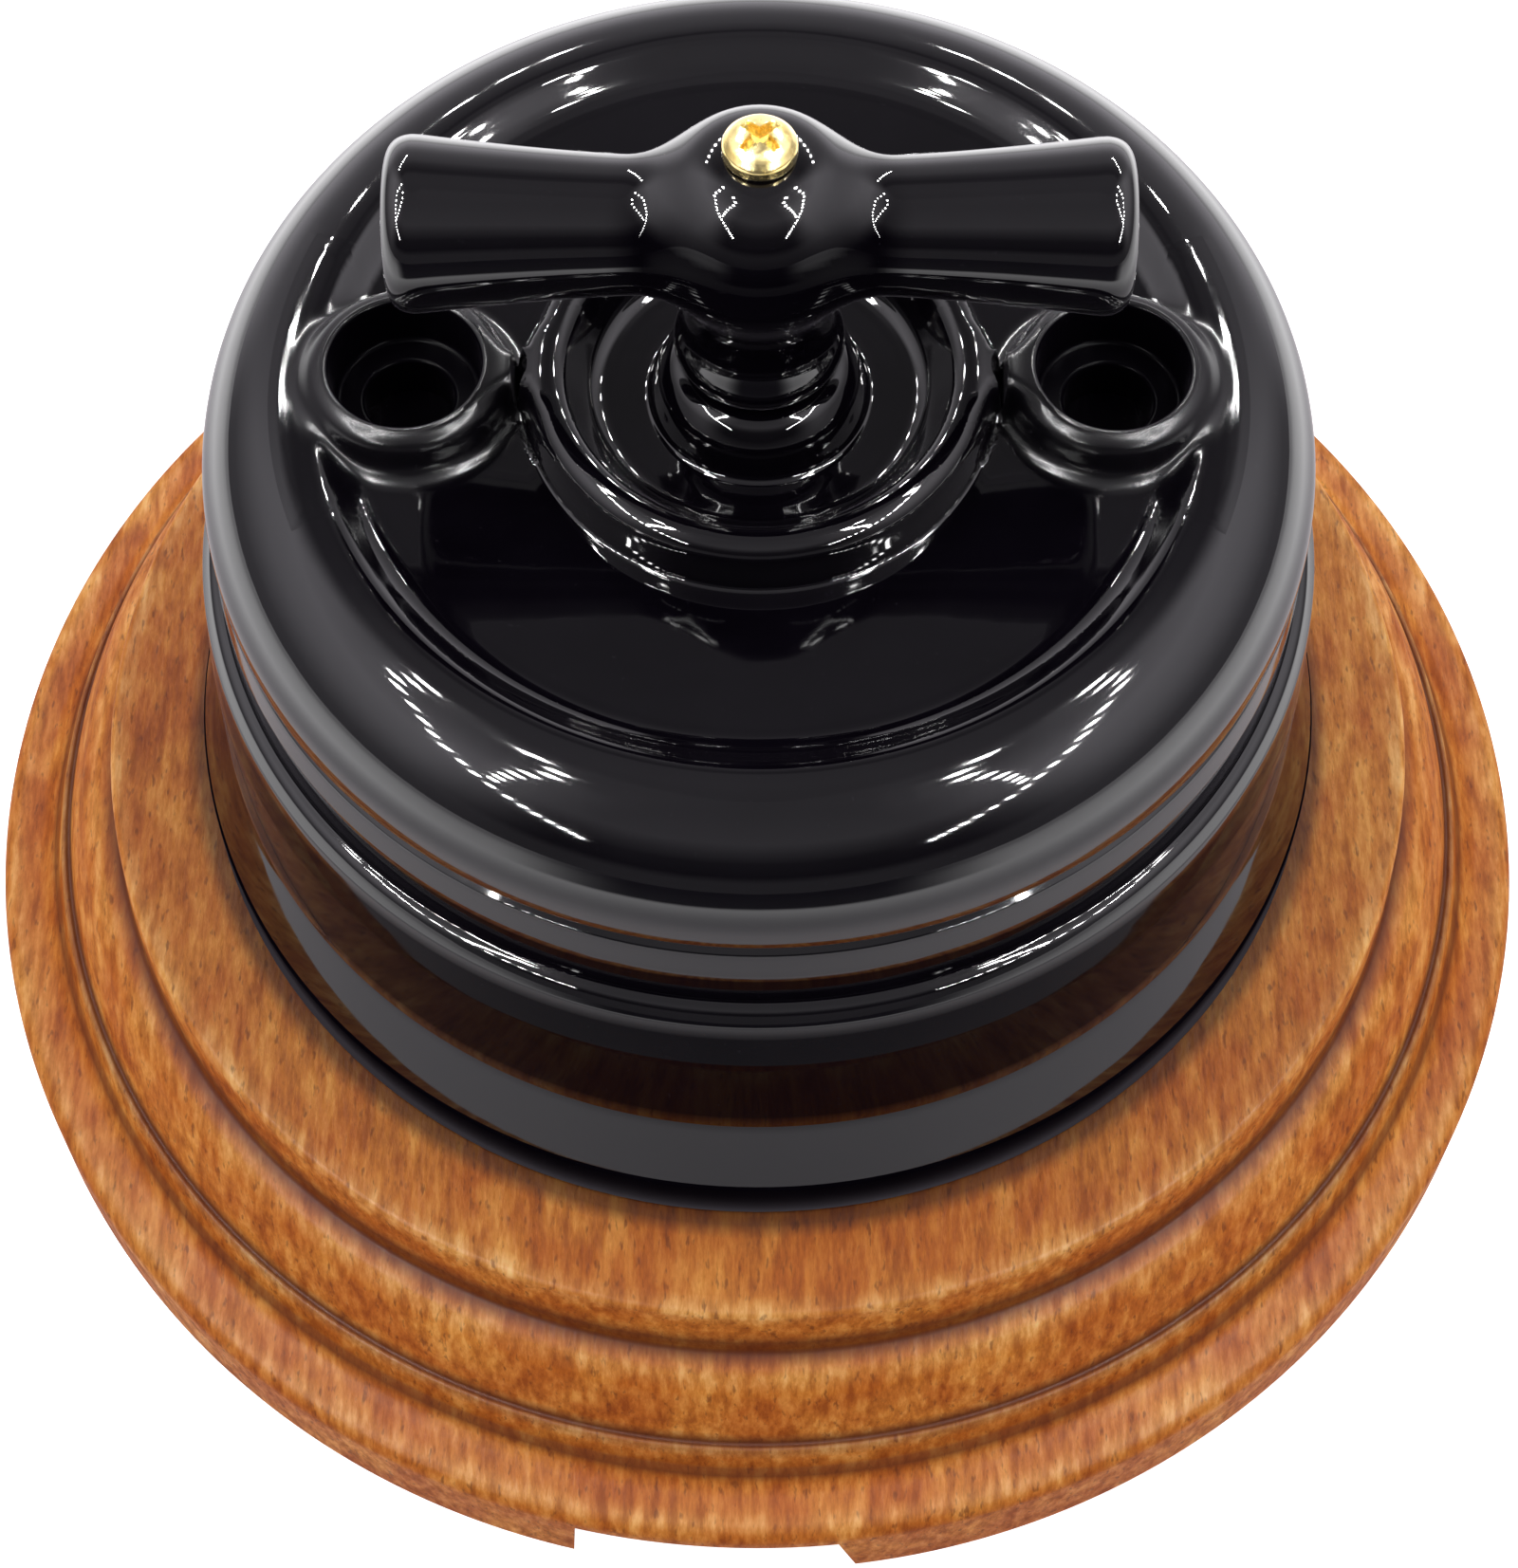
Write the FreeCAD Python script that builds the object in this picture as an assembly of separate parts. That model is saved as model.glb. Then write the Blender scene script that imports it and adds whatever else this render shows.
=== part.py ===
import FreeCAD, Part
import math
import os
from FreeCAD import Vector

# A surface-mounted rotary light switch: a turned wooden frame, a black glazed porcelain base and
# cover, and a black porcelain handle that clicks round in quarter turns. Millimetres, +Z away from
# the wall, origin on the wall plane at the handle's axis, the handle lying along X.

os.makedirs("parts", exist_ok=True)

# Clearances and small shared sizes
run_gap = 0.05            # radial gap of a journal in its bush
slide_gap = 0.05          # gap round a shaft inside a hub that is pushed onto it
thread_gap = 0.05         # gap between a screw and its tapped hole
through_gap = 0.15        # radial gap of a screw in a plain hole
edge_round = 0.3          # broken edges of glazed and turned pieces
bevel_limit = 0.31        # roundings up to this radius are made as straight bevels

# Wooden frame
frame_r = 50.0
frame_h = 19.2
frame_top_inset = 9.2     # from the outer radius to the edge of the flat top
frame_top_r = frame_r - frame_top_inset
frame_rim_h = 6.3
frame_rim_wall = 12.0
frame_back_r = frame_r - frame_rim_wall
frame_back_depth = 9.0
frame_ledge = 18.0        # from the hollow's wall to the opening for the wires
wire_opening_r = frame_back_r - frame_ledge
notch_left = 10.8
notch_right = 5.0
notch_h = 4.8
notch_flare = 1.2
# The turned moulding from the step down to the rim: inset from the outer radius, height above the
# rim's top, and the rounding of that corner.
moulding = [
    (8.9, 8.1, 0.5), (7.6, 7.9, 0.8), (6.5, 6.9, 1.2), (5.5, 4.9, 0.8), (4.95, 2.9, 0.2),
    (4.5, 3.3, 0.25), (4.0, 1.5, 0.8), (3.2, 0.2, 1.0)]

# Porcelain base
base_r = 34.45
base_flange_h = 3.7
spigot_r = 29.3
spigot_h = 3.1
wire_slot_y = 15.5
wire_slot_length = 12.0
wire_slot_width = 6.0
wall_hole_y = 25.0
wall_hole_r = 2.25

# Porcelain cover, its outer outline in radius and height above the base's flange
cover_foot_r = 34.3
cover_waist_r = 32.65
cover_waist_h = 4.8
cover_side_r = 32.42
cover_side_h = 12.6
cover_lip_r = 32.02
cover_lip_h = 16.75
cover_neck_r = 30.95
cover_neck_h = 20.5
ledge_rise = 0.85
crease_r = 30.3
crease_h = 23.0
crease_lip = 0.7
shoulder_r = 30.85
shoulder_round = 7.2
cover_h = 31.1
cover_wall = 3.4
cover_fit_gap = 0.3
roof_thickness = 3.5
dish_r = 23.45
dish_slope = 1.25
dish_depth = 1.2
crater_r = 11.1
crater_width = 2.0
crater_slope = 1.6
crater_inner_slope = 1.0
crater_rise = 2.7
crater_floor_drop = 0.2
collar_r = 5.25
collar_rise = 3.2
collar_bore_r = 3.0

# Cover fixing, on both sides of the handle's axis
cover_screw_x = 19.1
boss_r = 5.35
boss_draft = 0.35
boss_rise = 2.4
recess_r = 4.15
recess_depth = 3.2
sleeve_bore_r = 2.45
sleeve_wall = 1.25
ledge_thickness = 1.5
web_length = 4.4
web_half_width = 1.2
web_flare = 1.5
post_h = 13.0
post_flats = 5.5

# Screws: M2.5 for the whole mechanism, wood screws for the base
screw_r = 1.25
cheese_head_r = 2.15
cheese_head_h = 1.7
cover_screw_length = 8.0
post_screw_length = 9.0
slot_width = 0.6
slot_depth = 0.7
wood_screw_x = 25.5
wood_screw_r = 1.4
wood_screw_head_r = 2.8
wood_screw_length = 14.0

# Contact mechanism
block_r = 11.5
block_h = 5.0
block_bore_r = 6.2
ear_width = 6.0
lug_r = 23.0
lug_width = 8.0
mech_bolt_x = 12.7
contact_inner_r = 7.6
contact_width = 4.0
contact_t = 0.8
terminal_r = 19.0
terminal_length = 7.0
terminal_width = 6.4
terminal_h = 6.0
wire_bore_r = 1.4
terminal_head_r = 1.9
terminal_head_h = 1.5
pillar_r = 2.2
pillar_h = 12.0
plate_half_length = 15.1
plate_width = 15.6
plate_t = 1.6
plate_corner = 3.5
nut_flats = 5.0
nut_h = 2.0

# Turning parts
shaft_r = 2.5
shaft_top_r = 2.35
shaft_square = 5.0
shaft_flats = 3.6
shaft_tail = 1.4
ring_t = 0.6
ring_r = 4.0
ring_groove = 0.45
ring_mouth = 2.4
thrust_play = 0.1
bush_wall = 1.5
bush_flange_r = 5.5
bush_flange_h = 1.2
lower_bush_rise = 2.8
upper_flange_h = 1.1
upper_bush_rise = 0.8
washer_t = 0.4
washer_r = 4.3
contact_lift = 0.05
bridge_lift = 0.6
bridge_t = 0.6
bridge_reach = 10.2
bridge_disc_r = 5.6
bridge_rivet_r = 5.8
bridge_rivet_shank_r = 0.7
carrier_r = 9.4
carrier_disc_h = 2.2
carrier_hub_r = 4.5
carrier_h = 5.2
cam_half = 4.5
cam_corner_r = 5.6
cam_h = 3.4
spring_gap = 0.1
spring_t = 0.4
spring_h = 3.0
spring_pin_x = 8.5
spring_pin_r = 0.9

# Handle
handle_gap = 0.8
handle_half_length = 18.9
grip_z = 10.1
grip_root_r = 3.5
grip_end_r = 4.5
grip_end_round = 1.3
hub_r = 5.8
hub_z = 10.6
hub_top = 15.8
neck_foot_r = 4.55
neck_waist_r = 3.85
neck_waist_h = 3.6
neck_flare_drop = 3.4     # from the hub's centre down to the neck's flare
head_r = 1.9
head_h = 1.35
lock_washer_r = 1.75
lock_washer_t = 0.45
handle_screw_length = 11.0
handle_seat_depth = 3.1

# Levels worked out from the sizes above
z_flange = frame_h + base_flange_h
z_deck = z_flange + spigot_h
z_floor = z_flange + cover_h - dish_depth
z_roof = z_floor - roof_thickness
z_collar = z_floor + collar_rise
z_boss = z_floor + boss_rise
z_post = z_deck + post_h
z_block = z_deck + block_h
z_contact = z_block + contact_t
z_bridge = z_contact + bridge_lift
z_carrier = z_bridge + bridge_t
z_cam = z_carrier + carrier_h
z_plate = z_block + pillar_h
z_lower_bush = frame_h + lower_bush_rise
z_collar_seat = z_deck + bush_flange_h + washer_t + thrust_play
z_upper_flange = z_plate - upper_flange_h
z_handle = z_collar + handle_gap
z_hub_top = z_handle + hub_top
z_shaft_top = z_hub_top - handle_seat_depth
pin_y = cam_half + spring_gap + spring_t + slide_gap + spring_pin_r


def flat_xz(a, b):
    """A radius and a height as a point in the XZ half-plane."""
    return Vector(a, 0, b)


def flat_xy(a, b):
    """A point in the XY plane."""
    return Vector(a, b, 0)


def outline(corners, place):
    """Closed wire through the corners; a third value rounds that corner with a tangent arc,
    and arcs that meet on a short side share it."""
    count = len(corners)
    points = [place(c[0], c[1]) for c in corners]
    radii = [c[2] if len(c) > 2 else 0.0 for c in corners]
    half, tangent = [], []
    for i in range(count):
        before = (points[i - 1] - points[i]).normalize()
        after = (points[(i + 1) % count] - points[i]).normalize()
        half.append(math.acos(max(-1.0, min(1.0, before.dot(after)))) / 2)
        tangent.append(radii[i] / math.tan(half[i]) if radii[i] > 0 else 0.0)
    share = [1.0] * count
    for i in range(count):
        j = (i + 1) % count
        needed = tangent[i] + tangent[j]
        side = points[i].distanceToPoint(points[j])
        if needed > 0.98 * side:
            share[i] = min(share[i], 0.98 * side / needed)
            share[j] = min(share[j], 0.98 * side / needed)
    starts, ends, arcs = [], [], []
    for i in range(count):
        reach = tangent[i] * share[i]
        if reach < 1e-6:
            starts.append(points[i])
            ends.append(points[i])
            arcs.append(None)
            continue
        before = (points[i - 1] - points[i]).normalize()
        after = (points[(i + 1) % count] - points[i]).normalize()
        inward = (before + after).normalize()
        radius = reach * math.tan(half[i])
        middle = points[i] + inward * (radius / math.sin(half[i]) - radius)
        starts.append(points[i] + before * reach)
        ends.append(points[i] + after * reach)
        arcs.append(middle)
    edges = []
    for i in range(count):
        if arcs[i] is not None and radii[i] > bevel_limit:
            edges.append(Part.Arc(starts[i], arcs[i], ends[i]).toShape())
        elif arcs[i] is not None:
            edges.append(Part.LineSegment(starts[i], ends[i]).toShape())
        nxt = starts[(i + 1) % count]
        if ends[i].distanceToPoint(nxt) > 1e-6:
            edges.append(Part.LineSegment(ends[i], nxt).toShape())
    return Part.Wire(edges)


def turned(corners):
    """Solid turned about Z from a closed outline of radii and heights."""
    return Part.Face(outline(corners, flat_xz)).revolve(Vector(0, 0, 0), Vector(0, 0, 1), 360)


def rod(radius, low, high, x=0.0, y=0.0):
    """Upright round bar between two heights."""
    return Part.makeCylinder(radius, high - low, Vector(x, y, low))


def tube(outer, inner, low, high, x=0.0, y=0.0):
    """Upright round bar with a through-bore."""
    return rod(outer, low, high, x, y).cut(rod(inner, low - 1, high + 1, x, y))


def prism(corners, low, high):
    """Upright solid of a flat outline between two heights."""
    wire = outline(corners, flat_xy)
    wire.translate(Vector(0, 0, low))
    return Part.Face(wire).extrude(Vector(0, 0, high - low))


def rectangle(half_x, half_y, rounding=0.0, x=0.0, y=0.0):
    """Corners of a rectangle about a point."""
    return [(x - half_x, y - half_y, rounding), (x + half_x, y - half_y, rounding),
            (x + half_x, y + half_y, rounding), (x - half_x, y + half_y, rounding)]


def hexagon(flats, low, high, x=0.0, y=0.0):
    """Upright hexagonal bar given across its flats, two of which face along X."""
    reach = flats / math.sqrt(3)
    turns = [math.radians(30 + 60 * k) for k in range(6)]
    corners = [(x + reach * math.cos(a), y + reach * math.sin(a)) for a in turns]
    return prism(corners, low, high)


def turn(shape, angle):
    """Copy of a shape turned about the switch's axis."""
    copy = shape.copy()
    copy.rotate(Vector(0, 0, 0), Vector(0, 0, 1), angle)
    return copy


def mirrored(shape):
    """A shape and its half-turn copy on the other side of the axis."""
    return [shape, turn(shape, 180)]


def four(shape, first=45):
    """The four copies of a shape at the quarter turns."""
    return [turn(shape, first + 90 * k) for k in range(4)]


def save(name, shapes):
    """Write one node, from one solid or a group of separate ones."""
    shape = Part.makeCompound(shapes) if isinstance(shapes, list) else shapes
    shape.exportStep("parts/" + name + ".step")


def slotted_screw(head_r, head_h, shank_r, length, seat, x=0.0, y=0.0):
    """Screw with a cylindrical slotted head standing on its seat and its shank pointing down."""
    head = turned([(0, seat), (head_r, seat), (head_r, seat + head_h, 0.25), (0, seat + head_h)])
    slot = Part.makeBox(2 * head_r + 1, slot_width, slot_depth + 1,
                        Vector(-head_r - 0.5, -slot_width / 2, seat + head_h - slot_depth))
    shank = turned([(0, seat + 0.2), (0, seat - length), (shank_r - 0.3, seat - length),
                    (shank_r, seat - length + 0.4), (shank_r, seat + 0.2)])
    screw = head.fuse(shank).cut(slot)
    screw.translate(Vector(x, y, 0))
    return screw


def wooden_frame():
    """Turned ring with a flat top, a step, an ogee and a bead, hollow behind, notched for a cable."""
    rim = frame_rim_h
    corners = [(frame_back_r, 0, 0.3), (frame_r, 0, 0.3), (frame_r, rim, 1.0)]
    corners += [(frame_r - inset, rim + rise, rounding) for inset, rise, rounding in reversed(moulding)]
    corners += [(frame_top_r, frame_h, 0.5), (wire_opening_r, frame_h), (wire_opening_r, frame_back_depth),
                (frame_back_r, frame_back_depth, 1.5)]
    ring = turned(corners)
    notch = Part.Face(outline([
        (-notch_left - 0.3, -1), (notch_right + notch_flare * (notch_h + 1) / notch_h, -1),
        (notch_right, notch_h, 0.4), (-notch_left, notch_h, 0.4)], flat_xz))
    notch = notch.extrude(Vector(0, -frame_r, 0))
    ring = ring.cut(notch)
    for y in (wall_hole_y, -wall_hole_y):
        ring = ring.cut(rod(wall_hole_r, -1, frame_h + 1, 0, y))
    pilot = z_deck - wood_screw_length - 0.3
    for x in (wood_screw_x, -wood_screw_x):
        ring = ring.cut(rod(wood_screw_r + thread_gap, pilot, frame_h + 1, x))
    return ring


def porcelain_base():
    """Glazed disc with a stepped edge, slots for the wires and holes for every screw."""
    disc = turned([(0, frame_h), (base_r, frame_h, edge_round), (base_r, z_flange, 0.4),
                   (spigot_r, z_flange), (spigot_r, z_deck, edge_round), (0, z_deck)])
    disc = disc.cut(rod(bush_flange_r + 1.0, frame_h - 1, z_lower_bush))
    disc = disc.cut(rod(shaft_r + run_gap + bush_wall, frame_h, z_deck + 1))
    for y in (wire_slot_y, -wire_slot_y):
        slot = prism(rectangle(wire_slot_length / 2, wire_slot_width / 2, wire_slot_width * 0.48, 0, y),
                     frame_h - 1, z_deck + 1)
        disc = disc.cut(slot)
    for y in (wall_hole_y, -wall_hole_y):
        disc = disc.cut(rod(wall_hole_r, frame_h - 1, z_deck + 1, 0, y))
    head_room = cheese_head_r + through_gap
    for x in (mech_bolt_x, cover_screw_x):
        for side in (x, -x):
            disc = disc.cut(rod(screw_r + through_gap, frame_h, z_deck + 1, side))
            disc = disc.cut(rod(head_room, frame_h - 1, frame_h + cheese_head_h + 0.1, side))
    hole = wood_screw_r + through_gap
    sink = turned([(0, frame_h - 1), (hole, frame_h - 1), (hole, z_deck - wood_screw_head_r + hole),
                   (wood_screw_head_r, z_deck), (wood_screw_head_r, z_deck + 1), (0, z_deck + 1)])
    for side in (wood_screw_x, -wood_screw_x):
        cut = sink.copy()
        cut.translate(Vector(side, 0, 0))
        disc = disc.cut(cut)
    return disc


def screw_boss():
    """Raised boss round a cover screw, drafted, with a soft foot in the dish."""
    foot = boss_r + boss_draft
    boss = turned([(0, z_roof + 1), (foot + 1.1, z_roof + 1), (foot + 1.1, z_floor - 0.05),
                   (foot, z_floor + 0.1, 0.8), (boss_r, z_boss, 0.6), (recess_r, z_boss, 0.3),
                   (recess_r - 0.2, z_boss - 0.6), (0, z_boss - 0.6)])
    boss.translate(Vector(cover_screw_x, 0, 0))
    return boss


def boss_web():
    """Waisted web that ties the crater's ring to a screw boss."""
    near = crater_r - 0.6
    far = near + web_length
    middle = (near + far) / 2
    wide = web_half_width + web_flare
    corners = [(near, -wide), (middle, -web_half_width, 1.6), (far, -wide),
               (far, wide), (middle, web_half_width, 1.6), (near, wide)]
    return prism(corners, z_roof + 1, z_boss - 0.35)


def porcelain_cover():
    """Glazed cover: flared foot, drafted wall, lip, crease and domed shoulder round a shallow dish,
    with a crater-like ring, a shaft collar, two screw bosses and their sleeves inside."""
    up = z_flange
    inner_foot = spigot_r + cover_fit_gap
    corners = [
        (cover_foot_r, up, 0.3), (cover_waist_r, up + cover_waist_h, 0.4),
        (cover_side_r, up + cover_side_h, 1.4), (cover_lip_r, up + cover_lip_h, 0.5),
        (cover_neck_r, up + cover_lip_h + ledge_rise, 0.35),
        (cover_neck_r, up + cover_neck_h, 0.5), (crease_r + 0.25, up + crease_h - 1.0, 0.5),
        (crease_r, up + crease_h, 0.15), (shoulder_r, up + crease_h + crease_lip, 0.3),
        (shoulder_r, up + cover_h, shoulder_round), (dish_r, up + cover_h, 0.5),
        (dish_r - dish_slope, z_floor, 2.0), (crater_r + crater_slope, z_floor, 2.2),
        (crater_r, z_floor + crater_rise, 0.7), (crater_r - crater_width, z_floor + crater_rise, 1.0),
        (crater_r - crater_width - crater_inner_slope, z_floor - crater_floor_drop, 0.8),
        (collar_r + 0.35, z_floor - crater_floor_drop, 0.6), (collar_r, z_collar, 0.6),
        (collar_bore_r, z_collar, 0.2), (collar_bore_r, z_roof),
        (shoulder_r - cover_wall - 1.2, z_roof, 3.2),
        (cover_neck_r - cover_wall, up + cover_neck_h, 4.0),
        (cover_lip_r - cover_wall, up + cover_lip_h - 3.0, 4.0), (inner_foot, up + 4.0, 1.0),
        (inner_foot, up, 0.2)]
    shell = turned(corners)
    sleeve = rod(sleeve_bore_r + sleeve_wall, z_post, z_roof + 1, cover_screw_x)
    hole = rod(sleeve_bore_r, z_post + ledge_thickness, z_boss + 1, cover_screw_x)
    hole = hole.fuse(rod(screw_r + through_gap, z_post - 1, z_boss, cover_screw_x))
    hole = hole.fuse(rod(recess_r, z_boss - recess_depth, z_boss + 1, cover_screw_x))
    for piece in (screw_boss(), boss_web(), sleeve):
        for copy in mirrored(piece):
            shell = shell.fuse(copy)
    for copy in mirrored(hole):
        shell = shell.cut(copy)
    return shell.removeSplitter()


def cover_post():
    """Hexagonal brass pillar tapped at both ends, carrying the cover's sleeve."""
    post = hexagon(post_flats, z_deck, z_post, cover_screw_x)
    tapped = screw_r + thread_gap
    post = post.cut(rod(tapped, z_deck - 1, z_deck + post_screw_length * 0.6, cover_screw_x))
    top_depth = cover_screw_length - ledge_thickness + 0.6
    return post.cut(rod(tapped, z_post - top_depth, z_post + 1, cover_screw_x))


def post_screw():
    """Screw from below through the base into a pillar, its head sunk in the base."""
    seat = frame_h + cheese_head_h + 0.1
    shank_end = z_deck + post_screw_length * 0.6 - 0.4
    head = tube(cheese_head_r, 0.5, seat - cheese_head_h, seat, cover_screw_x)
    shank = rod(screw_r, seat - 0.5, shank_end, cover_screw_x)
    return head.fuse(rod(0.6, seat - 0.8, seat, cover_screw_x)).fuse(shank)


def wood_screw():
    """Countersunk wood screw with a cone point, holding the base on the frame."""
    tip = z_deck - wood_screw_length
    body = turned([(0, tip), (wood_screw_r, tip + 2.4), (wood_screw_r, z_deck - wood_screw_head_r + wood_screw_r),
                   (wood_screw_head_r - 0.1, z_deck - 0.1), (wood_screw_head_r - 0.1, z_deck), (0, z_deck)])
    slot = Part.makeBox(2 * wood_screw_head_r + 1, slot_width, slot_depth + 1,
                        Vector(-wood_screw_head_r - 0.5, -slot_width / 2, z_deck - slot_depth))
    body = body.cut(slot)
    body.translate(Vector(wood_screw_x, 0, 0))
    return body


def contact_block():
    """Insulating block: a disc with two ears for the bolts and four lugs for the terminals."""
    block = rod(block_r, z_deck, z_block)
    ear_r = mech_bolt_x + pillar_r
    block = block.fuse(prism(rectangle(ear_r, ear_width / 2, 1.2), z_deck, z_block))
    lug = prism([(0, -lug_width / 2), (lug_r, -lug_width / 2, 1.2), (lug_r, lug_width / 2, 1.2),
                 (0, lug_width / 2)], z_deck, z_block)
    for copy in four(lug):
        block = block.fuse(copy)
    block = block.cut(rod(block_bore_r, z_deck - 1, z_block + 1))
    for x in (mech_bolt_x, -mech_bolt_x):
        block = block.cut(rod(screw_r + through_gap, z_deck - 1, z_block + 1, x))
    return block.removeSplitter()


def fixed_contact():
    """Flat brass tongue from under a terminal to the contact ring."""
    outer = terminal_r + terminal_length / 2
    return prism([(contact_inner_r, -contact_width / 2, 1.2), (outer, -contact_width / 2),
                  (outer, contact_width / 2), (contact_inner_r, contact_width / 2, 1.2)],
                 z_block, z_contact)


def terminal_block():
    """Brass terminal with a cross-bore for the wire and a tapped hole for its screw."""
    body = prism(rectangle(terminal_length / 2, terminal_width / 2, 0.5, terminal_r, 0),
                 z_contact, z_contact + terminal_h)
    wire_z = z_contact + terminal_h * 0.4
    wire = Part.makeCylinder(wire_bore_r, terminal_length + 2,
                             Vector(terminal_r - terminal_length / 2 - 1, 0, wire_z), Vector(1, 0, 0))
    body = body.cut(wire)
    return body.cut(rod(screw_r + thread_gap, wire_z, z_contact + terminal_h + 1, terminal_r))


def terminal_screw():
    """Short slotted screw that clamps a wire."""
    depth = terminal_h * 0.6 - wire_bore_r * 0.2
    return slotted_screw(terminal_head_r, terminal_head_h, screw_r, depth,
                         z_contact + terminal_h, terminal_r)


def mechanism_bolt():
    """Long bolt from under the base through block, pillar and plate."""
    seat = frame_h + cheese_head_h + 0.1
    head = rod(cheese_head_r, seat - cheese_head_h, seat, mech_bolt_x)
    slot = Part.makeBox(2 * cheese_head_r + 1, slot_width, slot_depth + 1,
                        Vector(mech_bolt_x - cheese_head_r - 0.5, -slot_width / 2,
                               seat - cheese_head_h - 1))
    shank = rod(screw_r, seat - 0.2, z_plate + plate_t + nut_h + 0.6, mech_bolt_x)
    return head.fuse(shank).cut(slot)


def bearing_plate():
    """Rounded steel strap over the mechanism, with holes for the bush, bolts and spring pins."""
    plate = prism(rectangle(plate_half_length, plate_width / 2, plate_corner), z_plate, z_plate + plate_t)
    plate = plate.cut(rod(shaft_top_r + run_gap + bush_wall, z_plate - 1, z_plate + plate_t + 1))
    for x in (mech_bolt_x, -mech_bolt_x):
        plate = plate.cut(rod(screw_r + through_gap, z_plate - 1, z_plate + plate_t + 1, x))
    for x in (spring_pin_x, -spring_pin_x):
        for y in (pin_y, -pin_y):
            plate = plate.cut(rod(spring_pin_r, z_plate - 1, z_plate + plate_t + 1, x, y))
    return plate


def detent_spring():
    """Leaf spring along one face of the cam, its ends rolled round two pins."""
    inner = cam_half + spring_gap
    low = z_cam + (cam_h - spring_h) / 2
    leaf = prism(rectangle(spring_pin_x, spring_t / 2, 0, 0, inner + spring_t / 2), low, low + spring_h)
    for side in (1, -1):
        eye_r = spring_pin_r + slide_gap + spring_t
        eye = tube(eye_r, spring_pin_r + slide_gap, low, low + spring_h, side * spring_pin_x, pin_y)
        keep = Part.makeBox(2 * eye_r, 4 * eye_r, spring_h + 2,
                            Vector(0 if side > 0 else -2 * eye_r, -2 * eye_r, -1))
        keep.translate(Vector(side * spring_pin_x, pin_y, low))
        leaf = leaf.fuse(eye.common(keep))
    return leaf.removeSplitter()


def lower_bush():
    """Brass bush pressed into the base, its flange on the deck."""
    inner = shaft_r + run_gap
    return turned([(inner, z_lower_bush), (inner + bush_wall, z_lower_bush), (inner + bush_wall, z_deck),
                   (bush_flange_r, z_deck), (bush_flange_r, z_deck + bush_flange_h, 0.2),
                   (inner, z_deck + bush_flange_h)])


def upper_bush():
    """Brass bush in the bearing plate, its flange below."""
    inner = shaft_top_r + run_gap
    top = z_plate + plate_t + upper_bush_rise
    return turned([(inner, z_upper_flange), (inner + bush_wall + 0.8, z_upper_flange, 0.2),
                   (inner + bush_wall + 0.8, z_plate), (inner + bush_wall, z_plate),
                   (inner + bush_wall, top, 0.2), (inner, top)])


def switch_shaft():
    """Steel shaft: grooved tail, collar, square for carrier and cam, journal, flats for the handle."""
    tail = z_lower_bush - shaft_tail
    groove = z_lower_bush - 0.15 - ring_t - 0.05
    shaft = rod(shaft_r, tail, z_collar_seat + 0.1)
    shaft = shaft.cut(tube(shaft_r + 1, shaft_r - ring_groove, groove, groove + ring_t + 0.1))
    shaft = shaft.fuse(rod(shaft_r + 1.4, z_collar_seat, z_bridge))
    square = prism(rectangle(shaft_square / 2, shaft_square / 2, 0.5), z_bridge - 0.1, z_upper_flange - 0.3)
    shaft = shaft.fuse(square)
    journal = rod(shaft_top_r, z_upper_flange - 0.4, z_shaft_top)
    flats = Part.makeBox(4 * shaft_top_r, shaft_flats, z_shaft_top - z_handle,
                         Vector(-2 * shaft_top_r, -shaft_flats / 2, z_handle + 1.2))
    flats = flats.fuse(rod(shaft_top_r, z_upper_flange - 0.4, z_handle + 1.2))
    shaft = shaft.fuse(journal.common(flats))
    tapped = z_hub_top - lock_washer_t - handle_screw_length - 0.6
    return shaft.cut(rod(screw_r + thread_gap, tapped, z_shaft_top + 1)).removeSplitter()


def square_hole(low, high):
    """Square broach for pieces pushed onto the shaft."""
    half = shaft_square / 2 + slide_gap
    return prism(rectangle(half, half, 0.3), low - 1, high + 1)


def contact_bridge():
    """Brass bridging strip with a round middle, two arms and a domed contact on each end."""
    strip = rod(bridge_disc_r, z_bridge, z_bridge + bridge_t)
    arm = prism(rectangle(bridge_reach, contact_width / 2, 1.6), z_bridge, z_bridge + bridge_t)
    strip = strip.fuse(arm)
    dome_r = 1.3
    centre = bridge_reach - dome_r - 0.2
    for x in (centre, -centre):
        strip = strip.fuse(turned([(0, z_contact + contact_lift), (dome_r, z_contact + contact_lift, 0.5),
                                   (dome_r, z_bridge + 0.1), (0, z_bridge + 0.1)]).translate(Vector(x, 0, 0)))
    for x in (bridge_rivet_r, -bridge_rivet_r):
        strip = strip.cut(rod(bridge_rivet_shank_r, z_bridge - 1, z_bridge + 2, x))
    strip = turn(strip.removeSplitter(), 45)
    return strip.cut(square_hole(z_bridge, z_bridge + bridge_t))


def bridge_rivet():
    """Rivet that holds the bridging strip on its carrier."""
    low = z_bridge - 0.35
    high = z_carrier + carrier_disc_h
    rivet = turned([(0, low), (1.15, low, 0.2), (1.15, z_bridge), (bridge_rivet_shank_r, z_bridge),
                    (bridge_rivet_shank_r, high), (1.15, high), (1.15, high + 0.6, 0.3), (0, high + 0.6)])
    rivet.translate(Vector(bridge_rivet_r, 0, 0))
    return rivet


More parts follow.
